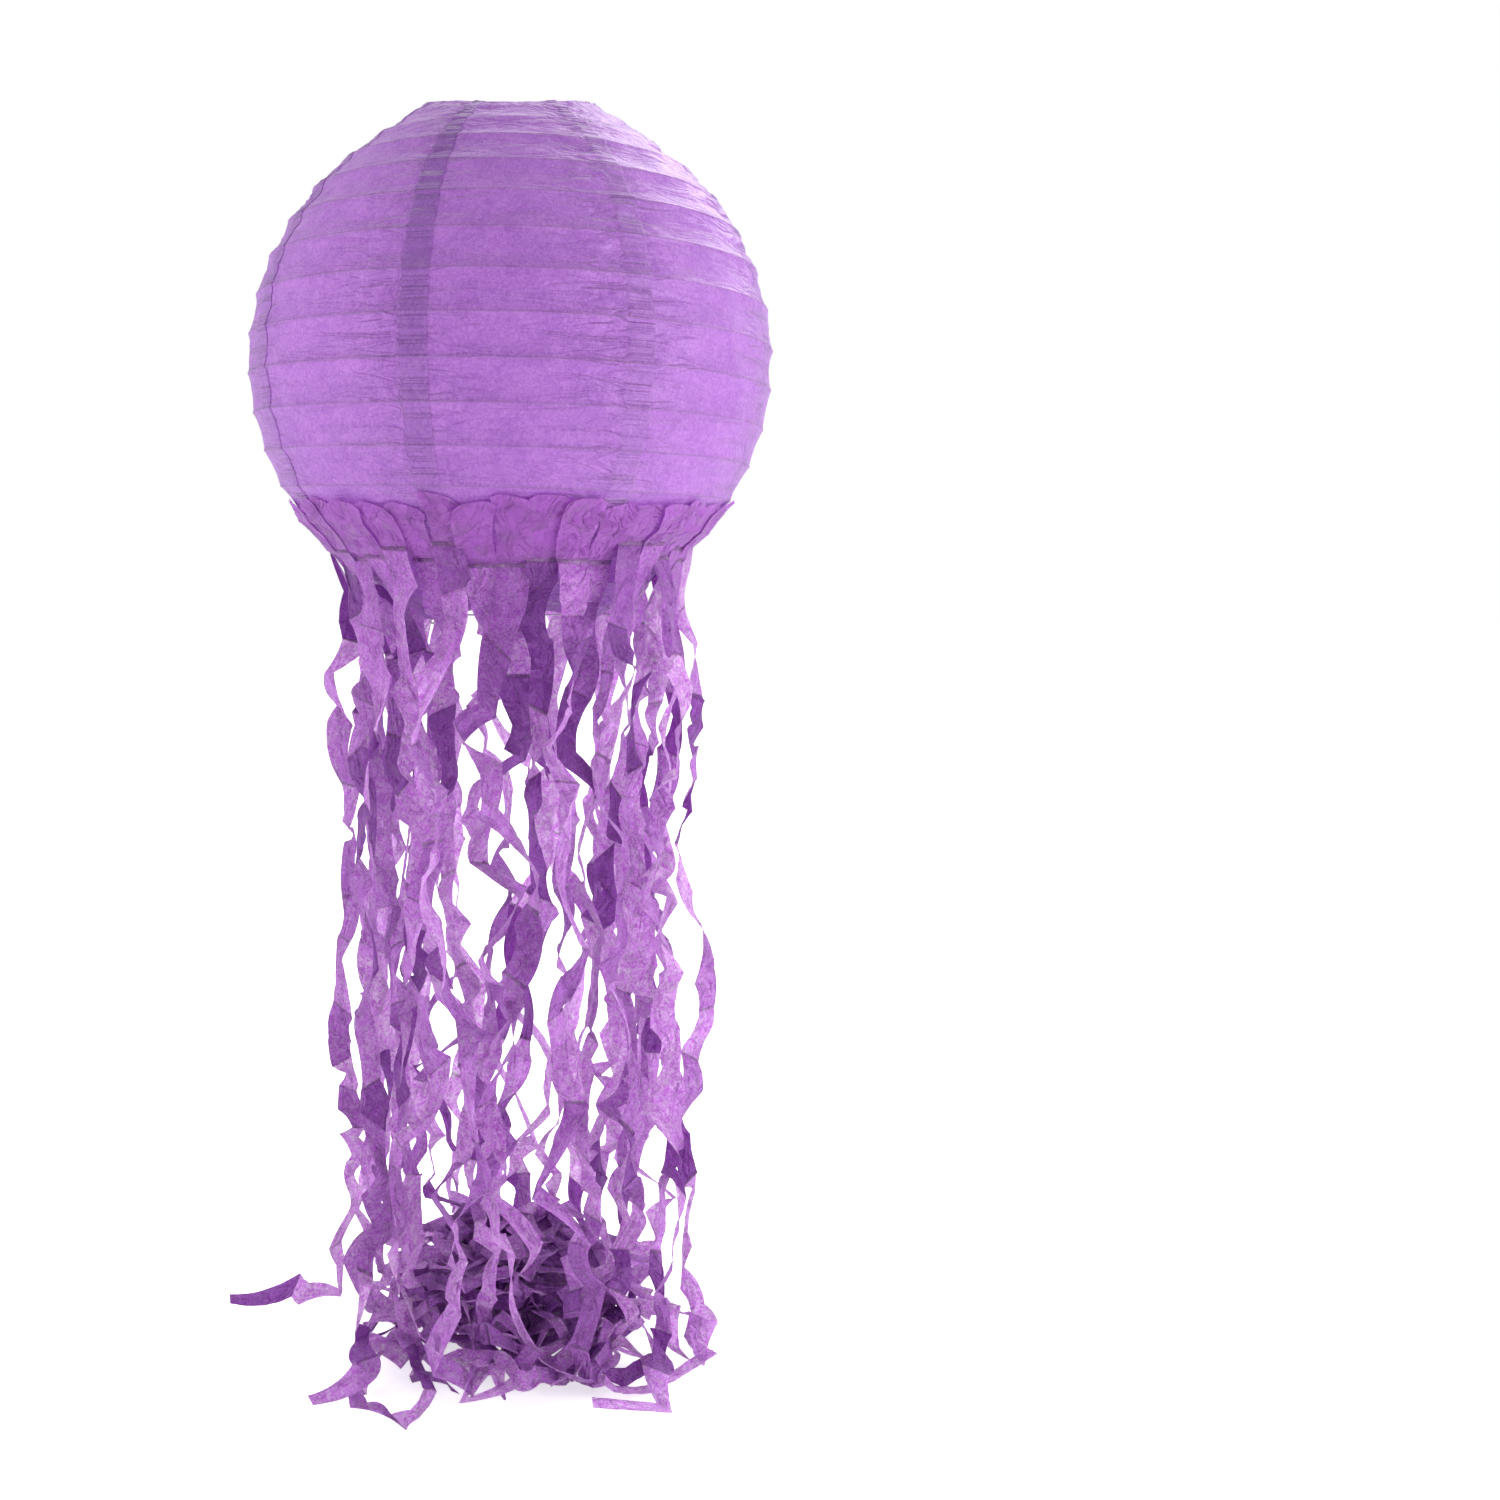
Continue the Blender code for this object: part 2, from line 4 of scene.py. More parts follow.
import bpy
import numpy as np
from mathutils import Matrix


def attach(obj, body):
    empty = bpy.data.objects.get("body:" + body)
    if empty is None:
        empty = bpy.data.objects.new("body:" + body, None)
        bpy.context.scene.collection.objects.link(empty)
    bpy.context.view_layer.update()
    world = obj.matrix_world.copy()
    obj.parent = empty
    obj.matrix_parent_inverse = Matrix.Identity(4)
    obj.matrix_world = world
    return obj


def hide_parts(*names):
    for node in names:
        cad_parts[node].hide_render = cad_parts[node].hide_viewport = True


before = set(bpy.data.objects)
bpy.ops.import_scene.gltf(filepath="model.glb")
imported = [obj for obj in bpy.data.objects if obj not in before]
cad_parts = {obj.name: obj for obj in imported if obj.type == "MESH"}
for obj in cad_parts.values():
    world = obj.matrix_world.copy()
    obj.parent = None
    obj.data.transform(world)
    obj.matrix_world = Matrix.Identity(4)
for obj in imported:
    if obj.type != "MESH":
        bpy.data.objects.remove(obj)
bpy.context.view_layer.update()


# The rib wire. One length of bright steel wire, wound into sixteen turns from the top
# mouth to the bottom one. It gives the globe its shape, and shows through the paper as
# sixteen nearly level ridges.
rib_radius = 0.1490
rib_half_height = 0.14304
wire_radius = 0.0005
mouth_radius = 0.050
mouth_polar = math.asin(mouth_radius / rib_radius)
hoop_lift = 0.0083
hoop_saddle = 0.0083
shoulder_arc = 0.052
first_seam = math.radians(-111.9)
rib_turns = 16
hoop_to_rib = 0.0022
rib_first = mouth_polar + hoop_to_rib / rib_radius
rib_step = (math.pi - 2 * rib_first) / rib_turns
crossing = 0.00125  # from middle to middle, where one wire crosses another
kink_height = 0.0030
eye_height = rib_half_height * math.cos(mouth_polar) + hoop_lift
bar_height = eye_height - crossing
centre_z = -(bar_height + kink_height - wire_radius)

# Places round the globe are counted in stations, from the first seam. The rib wire starts
# at the 25th of the 40, and each gore is 5 stations wide.
stations = 40
start_station = 25
gore_stations = 5


def globe_point(polar, azimuth, offset):
    """A point of the globe, pushed out by offset along the outward normal.

    The globe is an ellipsoid of revolution, x = R sin p cos a, y = R sin p sin a and
    z = H cos p. Near each mouth its height grows by lift (1 - arc / shoulder)^2, where
    lift is largest over the expander's ends and falls by the saddle between them.
    """
    polar, azimuth, offset = np.broadcast_arrays(polar, azimuth, offset)
    reach = rib_radius * np.sin(polar)
    height = rib_half_height * np.cos(polar)
    steep = np.stack([reach / rib_radius**2, height / rib_half_height**2])
    steep = steep / np.linalg.norm(steep, axis=0)
    arc = (np.minimum(polar, math.pi - polar) - mouth_polar) * rib_radius
    share = np.clip(1 - arc / shoulder_arc, 0, None) ** 2
    lift = hoop_lift - hoop_saddle * np.sin(azimuth) ** 2
    height = height + np.sign(np.cos(polar)) * share * lift
    reach = reach + steep[0] * offset
    return np.stack([
        reach * np.cos(azimuth),
        reach * np.sin(azimuth),
        centre_z + height + steep[1] * offset,
    ], axis=-1)


def finished_mesh(name, points, quads, uv, ends=()):
    """Puts points, four-cornered faces and end caps in the scene, with one UV pair a point."""
    mesh = bpy.data.meshes.new(name)
    faces = quads.reshape(-1, 4).tolist() + [list(end) for end in ends]
    mesh.from_pydata(points.reshape(-1, 3).tolist(), [], faces)
    corners = np.empty(len(mesh.loops), dtype=np.int32)
    mesh.loops.foreach_get("vertex_index", corners)
    layer = mesh.uv_layers.new(name="run")
    layer.data.foreach_set("uv", uv.reshape(-1, 2)[corners].ravel().astype(np.float32))
    mesh.shade_smooth()
    piece = bpy.data.objects.new(name, mesh)
    bpy.context.collection.objects.link(piece)
    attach(piece, "root")
    return piece


def wire(name, route, facing, closed, sides=10):
    """A round wire: at each point P of the route, the corners P + r (cos t F + sin t G).

    F is the facing direction made square to the route's direction T, and G = T x F.
    """
    along = np.roll(route, -1, axis=0) - np.roll(route, 1, axis=0)
    if not closed:
        along[0] = route[1] - route[0]
        along[-1] = route[-1] - route[-2]
    along = along / np.linalg.norm(along, axis=1, keepdims=True)
    face = facing - along * np.sum(facing * along, axis=1, keepdims=True)
    face = face / np.linalg.norm(face, axis=1, keepdims=True)
    across = np.cross(along, face)
    turn = np.arange(sides) * math.tau / sides
    rings = route[:, None] + wire_radius * (
        np.cos(turn)[None, :, None] * face[:, None] + np.sin(turn)[None, :, None] * across[:, None]
    )
    count = len(route)
    here = np.arange(count if closed else count - 1)
    i, k = np.meshgrid(here, np.arange(sides), indexing="ij")
    j, m = (i + 1) % count, (k + 1) % sides
    quads = np.stack([i * sides + k, i * sides + m, j * sides + m, j * sides + k], axis=-1)
    last = (count - 1) * sides
    ends = [] if closed else [range(sides - 1, -1, -1), range(last, last + sides)]
    run = np.linspace(0, 1, count)[:, None]
    uv = np.stack(np.broadcast_arrays(run, (np.arange(sides) / sides)[None]), axis=-1)
    return finished_mesh(name, rings, quads, uv, ends)


def steel_wire(name, brightness, rust):
    """Drawn steel wire: a slow change of brightness, fine roughness, and rust at its welds."""
    made = bpy.data.materials.new(name)
    made.use_nodes = True
    nodes, links = made.node_tree.nodes, made.node_tree.links
    shader = nodes["Principled BSDF"]
    shader.inputs["Metallic"].default_value = 1.0
    place = nodes.new("ShaderNodeTexCoord")
    stain = nodes.new("ShaderNodeTexNoise")
    stain.inputs["Scale"].default_value = 240
    stain.inputs["Detail"].default_value = 4
    links.new(place.outputs["Object"], stain.inputs["Vector"])
    tone = nodes.new("ShaderNodeValToRGB")
    tone.color_ramp.elements[0].position = 0.30
    tone.color_ramp.elements[0].color = (*(0.62 * brightness * np.array((1.0, 1.0, 1.03))), 1)
    tone.color_ramp.elements[1].position = 0.70
    tone.color_ramp.elements[1].color = (*(brightness * np.array((1.0, 1.0, 1.02))), 1)
    links.new(stain.outputs["Fac"], tone.inputs["Fac"])
    rough = nodes.new("ShaderNodeMapRange")
    rough.inputs["To Min"].default_value = 0.24
    rough.inputs["To Max"].default_value = 0.46
    links.new(stain.outputs["Fac"], rough.inputs["Value"])
    links.new(rough.outputs["Result"], shader.inputs["Roughness"])
    if rust:
        run = nodes.new("ShaderNodeUVMap")
        run.uv_map = "run"
        parts = nodes.new("ShaderNodeSeparateXYZ")
        links.new(run.outputs["UV"], parts.inputs["Vector"])
        middle = nodes.new("ShaderNodeMath")
        middle.operation = "SUBTRACT"
        middle.inputs[1].default_value = 0.5
        links.new(parts.outputs["X"], middle.inputs[0])
        away = nodes.new("ShaderNodeMath")
        away.operation = "ABSOLUTE"
        links.new(middle.outputs["Value"], away.inputs[0])
        near = nodes.new("ShaderNodeMapRange")
        near.inputs["From Min"].default_value = 0.37
        near.inputs["From Max"].default_value = 0.47
        links.new(away.outputs["Value"], near.inputs["Value"])
        patchy = nodes.new("ShaderNodeMath")
        patchy.operation = "MULTIPLY"
        links.new(near.outputs["Result"], patchy.inputs[0])
        links.new(rough.outputs["Result"], patchy.inputs[1])
        strong = nodes.new("ShaderNodeMath")
        strong.operation = "MULTIPLY"
        strong.use_clamp = True
        strong.inputs[1].default_value = 2.8
        links.new(patchy.outputs["Value"], strong.inputs[0])
        rusty = nodes.new("ShaderNodeMix")
        rusty.data_type = "RGBA"
        rusty.inputs["B"].default_value = (0.17, 0.055, 0.022, 1)
        links.new(strong.outputs["Value"], rusty.inputs["Factor"])
        links.new(tone.outputs["Color"], rusty.inputs["A"])
        links.new(rusty.outputs["Result"], shader.inputs["Base Color"])
    else:
        links.new(tone.outputs["Color"], shader.inputs["Base Color"])
    return made


bright_steel = steel_wire("bright_steel", 0.72, False)
welded_steel = steel_wire("welded_steel", 0.72, True)

turned = np.linspace(0, rib_turns, rib_turns * 90 + 1)
rib_azimuth = first_seam + (start_station / stations + turned) * math.tau
rib_polar = rib_first + rib_step * turned
rib_route = globe_point(rib_polar, rib_azimuth, 0.0)
rib_facing = globe_point(rib_polar, rib_azimuth, 1.0) - rib_route
rib_wire = wire("rib_wire", rib_route, rib_facing, False, 8)
rib_wire.data.materials.append(bright_steel)
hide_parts("rib_spiral")


# The two mouth hoops. Each is a ring of the same wire, sprung out of flat by the expander,
# so that it stands highest at the eyes. The paper's hem is turned over it.
round_hoop = np.arange(160) * math.tau / 160
for hoop_name, hoop_node, hoop_polar in (
    ("top_mouth_hoop", "top_hoop", mouth_polar),
    ("bottom_mouth_hoop", "bottom_hoop", math.pi - mouth_polar),
):
    hoop_route = globe_point(hoop_polar, round_hoop, 0.0)
    hoop = wire(hoop_name, hoop_route, hoop_route * (1, 1, 0), True)
    hoop.data.materials.append(bright_steel)
    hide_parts(hoop_node)


# The four eyes. Each is a short piece of wire bent to an open ring and spot-welded by its
# two ends inside a hoop. The heat of the weld took the zinc off, and the ends have rusted.
eye_radius = 0.0042
eye_centre = mouth_radius - 0.0046
weld_gap = 0.00035
eye_start = math.acos(
    (mouth_radius - wire_radius - weld_gap - eye_centre) / (eye_radius + wire_radius)
)
eye_turn = np.linspace(eye_start, math.tau - eye_start, 48)
for level, end in (("top", 1), ("bottom", -1)):
    for hand, side in (("left", -1), ("right", 1)):
        eye_route = np.stack([
            side * (eye_centre + eye_radius * np.cos(eye_turn)),
            eye_radius * np.sin(eye_turn),
            np.full(len(eye_turn), centre_z + end * eye_height),
        ], axis=1)
        eye = wire(f"welded_eye_{level}_{hand}", eye_route, np.array([[0, 0, 1.0]]), False)
        eye.data.materials.append(welded_steel)
        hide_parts(f"eye_{level}_{hand}")


# The expander. One length of wire bent into a closed frame, whose two bars hold the mouths
# apart. The top bar has a kink in its middle to hang the lantern by, and each bar humps up
# through an eye at both of its ends before it turns into a leg.
kink_half_width = 0.0055
hump_height = 0.0050
hump_radius = 0.0016


def arc_points(x, z, radius, start, stop, count):
    """Points (x + r cos t, z + r sin t) for count angles t from start to stop, in degrees."""
    t = np.radians(np.linspace(start, stop, count))
    return np.stack([x + radius * np.cos(t), z + radius * np.sin(t)], axis=1)


hump_foot = eye_centre - 2 * hump_radius
hump_top = bar_height + hump_height - hump_radius
quarter = np.concatenate([
    np.stack([np.linspace(kink_half_width, hump_foot, 40), np.full(40, bar_height)], axis=1),
    arc_points(hump_foot, bar_height + hump_radius, hump_radius, -90, 0, 8)[1:],
    arc_points(eye_centre, hump_top, hump_radius, 180, 0, 14),
])
leg = np.stack([
    np.full(60, eye_centre + hump_radius), np.linspace(hump_top, -hump_top, 62)[1:-1],
], axis=1)
right_half = np.concatenate([quarter, leg, quarter[::-1] * (1, -1)])
left_half = right_half[::-1] * (-1, 1)
kink = np.stack([
    np.linspace(-kink_half_width, kink_half_width, 15)[1:-1],
    bar_height + kink_height * (1 - np.abs(np.linspace(-1, 1, 15)[1:-1]) ** 1.15),
], axis=1)
bottom_bar = np.stack([
    np.linspace(kink_half_width, -kink_half_width, 9)[1:-1], np.full(7, -bar_height),
], axis=1)
outline = np.concatenate([kink, right_half, bottom_bar, left_half])
expander_route = np.stack([outline[:, 0], np.zeros(len(outline)), centre_z + outline[:, 1]], axis=1)
expander = wire("wire_expander", expander_route, np.array([[0, 1.0, 0]]), True)
expander.data.materials.append(bright_steel)
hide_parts("expander")


# The cord holder. A C of the same wire, spot-welded by its back under the top bar, so that
# a lamp's cord can be pushed in between its open ends.
holder_middle = 0.0032
holder_depth = 0.0070
holder_half_length = 0.0084
holder_turn = np.radians(np.linspace(-150, 150, 72))
holder_route = np.stack([
    holder_middle + holder_depth * np.cos(holder_turn),
    holder_half_length * np.sin(holder_turn),
    np.full(72, centre_z + bar_height - crossing),
], axis=1)
holder = wire("cord_holder_c", holder_route, np.array([[0, 0, 1.0]]), False)
holder.data.materials.append(bright_steel)
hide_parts("cord_holder")


# The paper globe. Eight gores of lilac tissue, each glued over the ribs and hoops and
# lapped 16 mm over the next gore. The tissue is drawn tight along the wires and sags a
# little between them, with small creases where the laps pull at it.
paper = 0.00025
seam_lap = 0.0157
lap_lift = 0.00032
skin_offset = 0.00075
plain_rim = 0.010
sag_depth = 0.0013
bead_height = 0.00035
off_wire = 0.0001
crease_length = 0.0052


def lattice_noise(x, y, seed, period=4096):
    """Noise from -1 to 1: random values at whole numbers of x and y, eased between them.

    The weight of a corner falls as 1 - (3 f^2 - 2 f^3), and x repeats after a period.
    """
    table = np.random.default_rng(seed).uniform(-1, 1, (64, 64))
    x, y = np.broadcast_arrays(x, y)
    left, low = np.floor(x).astype(int), np.floor(y).astype(int)
    fx, fy = x - left, y - low
    fx, fy = fx * fx * (3 - 2 * fx), fy * fy * (3 - 2 * fy)
    i, j = left % period % 64, (left + 1) % period % 64
    k, m = low % 64, (low + 1) % 64
    return (
        table[i, k] * (1 - fx) * (1 - fy) + table[j, k] * fx * (1 - fy)
        + table[i, m] * (1 - fx) * fy + table[j, m] * fx * fy
    )


def ribs_above(polar, station):
    """How many turns of the rib wire lie above a point: 0 at the first, 16 at the last."""
    return (polar - rib_first) / rib_step - (station - start_station) / stations


def paper_relief(polar, station):
    """How far the tissue stands from the tight globe, in metres.

    Between two ribs it hangs in by sag 4 f (1 - f), where f runs from rib to rib, and it
    beads over the wire itself, which holds it off the tight globe by 0.1 mm or more, on a
    broader strip of each bay near a mouth. Creases along the ribs fade away from a lap,
    and radial ones away from a mouth.
    """
    bays = ribs_above(polar, station)
    f = bays - np.floor(bays)
    arc = (np.minimum(polar, math.pi - polar) - mouth_polar) * rib_radius
    inside = np.clip(arc / plain_rim, 0, 1)
    slack = 1.15 + 0.55 * lattice_noise(station * 24 / stations, np.floor(bays) * 7.3, 3, 24)
    sag = -sag_depth * slack * 4 * f * (1 - f)
    bead = bead_height * np.exp(-((np.minimum(f, 1 - f) / 0.030) ** 2))
    lap = (station + gore_stations / 2) % gore_stations - gore_stations / 2
    near_lap = np.exp(-((lap / 1.05) ** 2))
    down = polar * rib_radius / crease_length
    crease = lattice_noise(station * 36 / stations, down + station * 0.2, 5, 36)
    fine = lattice_noise(station * 120 / stations, down + station * 0.35, 7, 120)
    collar = lattice_noise(station * 64 / stations, polar * 9, 11, 64) * np.exp(-arc / 0.016)
    ridge = 0.6 - 1.6 * np.abs(crease)
    upper = np.clip((2.0 - polar) / 0.8, 0.35, 1)
    puckers = np.sin(math.pi * f) ** 0.7 * (0.0013 * near_lap + 0.00038) * upper * ridge
    relief = inside * (sag + bead + puckers + 0.00020 * fine) + 0.00045 * collar
    near_mouth = np.clip(2.6 - np.minimum(bays, rib_turns - bays), 0, 1)
    on_wire = np.exp(-((np.minimum(f, 1 - f) / (0.035 + 0.055 * near_mouth)) ** 4))
    return relief + on_wire * np.maximum(0.0, off_wire - relief)


def sheet_mesh(name, front, back, uv):
    """A closed sheet of paper between two grids: front faces, back faces, and a rim."""
    rows, columns = front.shape[:2]
    size = rows * columns
    at = np.arange(size).reshape(rows, columns)
    face = np.stack([at[:-1, :-1], at[1:, :-1], at[1:, 1:], at[:-1, 1:]], axis=-1).reshape(-1, 4)
    ring = np.concatenate([at[:-1, 0], at[-1, :-1], at[:0:-1, -1], at[0, :0:-1]])
    after = np.roll(ring, -1)
    rim = np.stack([after, ring, ring + size, after + size], axis=-1)
    quads = np.concatenate([face, face[:, ::-1] + size, rim])
    return finished_mesh(name, np.stack([front, back]), quads, np.stack([uv, uv]))


def tissue(name, shade, light, glow_shade, glow_light, passed, on_globe):
    """Dyed tissue paper: its front throws light back, and its pulp passes some through.

    Cloudy pulp and short bright fibres, seen most against the light, come from two noises.
    A crease runs where a drawn-out noise crosses its middle value. On the globe, where the
    UV map counts laps and ribs, the tissue carries painted shade: a thin line along each
    wire for the wire's shadow, and a darkening of the laps that is strongest near the top.
    A strip's map counts metres, 0.5 down on its head, which is pasted on the globe, and up
    to 0.5 up on links with painted shade, which stands for parts lying double against the
    light and parts turned from the light.
    """
    made = bpy.data.materials.new(name)
    made.use_nodes = True
    nodes, links = made.node_tree.nodes, made.node_tree.links
    front = nodes["Principled BSDF"]
    place = nodes.new("ShaderNodeTexCoord")
    run = nodes.new("ShaderNodeUVMap")
    run.uv_map = "run"

    def noise(vector, scale, detail, roughness, distortion):
        made_noise = nodes.new("ShaderNodeTexNoise")
        made_noise.inputs["Scale"].default_value = scale
        made_noise.inputs["Detail"].default_value = detail
        made_noise.inputs["Roughness"].default_value = roughness
        made_noise.inputs["Distortion"].default_value = distortion
        links.new(vector, made_noise.inputs["Vector"])
        return made_noise.outputs["Fac"]

    def maths(operation, value, other=0.0):
        step = nodes.new("ShaderNodeMath")
        step.operation = operation
        for socket, given in zip(step.inputs, (value, other)):
            if isinstance(given, float):
                socket.default_value = given
            else:
                links.new(given, socket)
        return step.outputs["Value"]

    def ranged(value, start, stop, low, high):
        step = nodes.new("ShaderNodeMapRange")
        for socket, given in zip(list(step.inputs)[1:5], (start, stop, low, high)):
            socket.default_value = given
        links.new(value, step.inputs["Value"])
        return step.outputs["Result"]

    def tones(factor, low, high, start, stop):
        ramp = nodes.new("ShaderNodeValToRGB")
        ramp.color_ramp.elements[0].position = start
        ramp.color_ramp.elements[0].color = (*low, 1)
        ramp.color_ramp.elements[1].position = stop
        ramp.color_ramp.elements[1].color = (*high, 1)
        links.new(factor, ramp.inputs["Fac"])
        return ramp.outputs["Color"]

    def dimmed(colour, level):
        step = nodes.new("ShaderNodeVectorMath")
        step.operation = "SCALE"
        links.new(colour, step.inputs[0])
        links.new(level, step.inputs["Scale"])
        return step.outputs["Vector"]

    def tinted(colour, tint):
        step = nodes.new("ShaderNodeVectorMath")
        step.operation = "MULTIPLY"
        links.new(colour, step.inputs[0])
        links.new(tint, step.inputs[1])
        return step.outputs["Vector"]

    clouds = noise(place.outputs["Object"], 75, 3, 0.55, 0.3)
    pulp = noise(place.outputs["Object"], 420, 5, 0.66, 1.6)
    tone = maths("ADD", maths("MULTIPLY", clouds, 0.45), maths("MULTIPLY", pulp, 0.55))
    face = tones(tone, shade, light, 0.38, 0.62)
    glow = tones(pulp, glow_shade, glow_light, 0.40, 0.62)
    stretched = nodes.new("ShaderNodeMapping")
    links.new(run.outputs["UV"], stretched.inputs["Vector"])
    parts = nodes.new("ShaderNodeSeparateXYZ")
    links.new(run.outputs["UV"], parts.inputs["Vector"])
    if on_globe:
        stretched.inputs["Scale"].default_value = (3.0, 46, 1)
        bay = maths("FRACT", maths("MULTIPLY", parts.outputs["Y"], float(rib_turns)))
        # Painted shade: a thin darker line along each rib wire, for the wire's shadow in the
        # tissue, deepest in the light passed through.
        wire_shadow = ranged(maths("ABSOLUTE", maths("SUBTRACT", bay, 0.5)), 0.468, 0.495, 0.0, 1.0)
        # Painted shade on each gore's lap, strongest near the top and fading downwards, as deep as
        # the level set for that gore.
        lap_shade = ranged(parts.outputs["X"], 1.005, 1.12, 0.0, 1.0)
        lap_shade = maths("MULTIPLY", lap_shade, ranged(parts.outputs["Y"], 0.22, 0.62, 1.0, 0.22))
        from_middle = maths("ABSOLUTE", maths("SUBTRACT", parts.outputs["X"], 0.5))
        creased = ranged(from_middle, 0.10, 0.46, 0.42, 1.0)
        lap_shade_tint = tones(lap_shade, (1, 1, 1), (0.80, 0.68, 0.88), 0.0, 1.0)
        face = tinted(dimmed(face, ranged(wire_shadow, 0.0, 1.0, 1.0, 0.92)), lap_shade_tint)
        glow = tinted(dimmed(glow, ranged(wire_shadow, 0.0, 1.0, 1.0, 0.66)), lap_shade_tint)
    else:
        stretched.inputs["Scale"].default_value = (60, 110, 1)
        free = ranged(parts.outputs["Y"], -0.30, -0.20, 0.0, 1.0)
        spread = maths("MULTIPLY", maths("SUBTRACT", pulp, 0.5), ranged(free, 0.0, 1.0, 0.35, 1.0))
        glow = tones(maths("ADD", spread, 0.5), glow_shade, glow_light, 0.40, 0.60)
        glow = tinted(glow, tones(free, (0.90, 0.74, 0.92), (1, 1, 1), 0.0, 1.0))
        # Painted shade on whole links: the face and the light passed through are darker on links
        # given a shade level, for parts lying double against the light and parts turned from the
        # light.
        link_shade = ranged(parts.outputs["Y"], 0.01, 0.50, 0.0, 1.0)
        face = tinted(face, tones(link_shade, (1, 1, 1), (0.77, 0.67, 0.83), 0.0, 1.0))
        glow = tinted(glow, tones(link_shade, (1, 1, 1), (0.49, 0.29, 0.57), 0.0, 1.0))
    links.new(face, front.inputs["Base Color"])
    front.inputs["Roughness"].default_value = 0.46
    front.inputs["Specular IOR Level"].default_value = 0.50
    front.inputs["Sheen Weight"].default_value = 0.55 if on_globe else 0.35
    front.inputs["Sheen Roughness"].default_value = 0.35
    behind = nodes.new("ShaderNodeBsdfTranslucent")
    links.new(glow, behind.inputs["Color"])
    wandering = noise(stretched.outputs["Vector"], 1.0, 3, 0.5, 0.9)
    crease = maths("ABSOLUTE", maths("SUBTRACT", wandering, 0.5))
    crease = maths("POWER", crease, 0.85 if on_globe else 0.6)
    if on_globe:
        crease = maths("MULTIPLY", crease, creased)
    folded = nodes.new("ShaderNodeBump")
    folded.inputs["Strength"].default_value = 1.0
    folded.inputs["Distance"].default_value = 0.0046 if on_globe else 0.0036
    links.new(crease, folded.inputs["Height"])
    cells = nodes.new("ShaderNodeTexVoronoi")
    cells.inputs["Scale"].default_value = 95 if on_globe else 170
    links.new(place.outputs["Object"], cells.inputs["Vector"])
    lean = nodes.new("ShaderNodeVectorMath")
    lean.operation = "SUBTRACT"
    lean.inputs[1].default_value = (0.5, 0.5, 0.5)
    links.new(cells.outputs["Color"], lean.inputs[0])
    inside = nodes.new("ShaderNodeVectorMath")
    inside.operation = "SUBTRACT"
    links.new(place.outputs["Object"], inside.inputs[0])
    links.new(cells.outputs["Position"], inside.inputs[1])
    facet = nodes.new("ShaderNodeVectorMath")
    facet.operation = "DOT_PRODUCT"
    links.new(lean.outputs["Vector"], facet.inputs[0])
    links.new(inside.outputs["Vector"], facet.inputs[1])
    rumpled = nodes.new("ShaderNodeBump")
    rumpled.inputs["Strength"].default_value = 0.10 if on_globe else 1.0
    rumpled.inputs["Distance"].default_value = 1.0
    links.new(facet.outputs["Value"], rumpled.inputs["Height"])
    links.new(folded.outputs["Normal"], rumpled.inputs["Normal"])
    links.new(rumpled.outputs["Normal"], front.inputs["Normal"])
    links.new(rumpled.outputs["Normal"], behind.inputs["Normal"])
    both = nodes.new("ShaderNodeMixShader")
    both.inputs["Fac"].default_value = passed
    links.new(front.outputs["BSDF"], both.inputs[1])
    links.new(behind.outputs["BSDF"], both.inputs[2])
    links.new(both.outputs["Shader"], nodes["Material Output"].inputs["Surface"])
    return made


globe_tissue = tissue(
    "globe_tissue",
    (0.44, 0.195, 0.605), (0.57, 0.285, 0.720),
    (0.62, 0.210, 0.760), (0.88, 0.495, 0.920),
    0.50, True,
)

bay_rows = np.array([
    0, 0.02, 0.045, 0.08, 0.14, 0.22, 0.32, 0.42,
    0.50, 0.58, 0.68, 0.78, 0.86, 0.92, 0.955, 0.98,
])
mouth_level = hoop_to_rib / rib_radius / rib_step
level = np.concatenate([
    [-mouth_level, -mouth_level / 2],
    (np.arange(rib_turns)[:, None] + bay_rows).ravel(),
    [rib_turns, rib_turns + mouth_level / 2, rib_turns + mouth_level],
])[:, None]
hem_turn = np.radians([84, 97, 110, 123, 136, 150, 165, 180, 180, 180])
hem_drop = np.array([0, 0, 0, 0, 0, 0, 0, 0, 0.0013, 0.0028])
globe_radius = 0.150
lap_end = gore_stations + seam_lap / (globe_radius * math.tau / stations)
# How deep each gore's painted lap shade is, from 0 to 1.
lap_shade_levels = (0.30, 0.55, 0.80, 0.45, 0.70, 0.60, 0.50, 1.00)
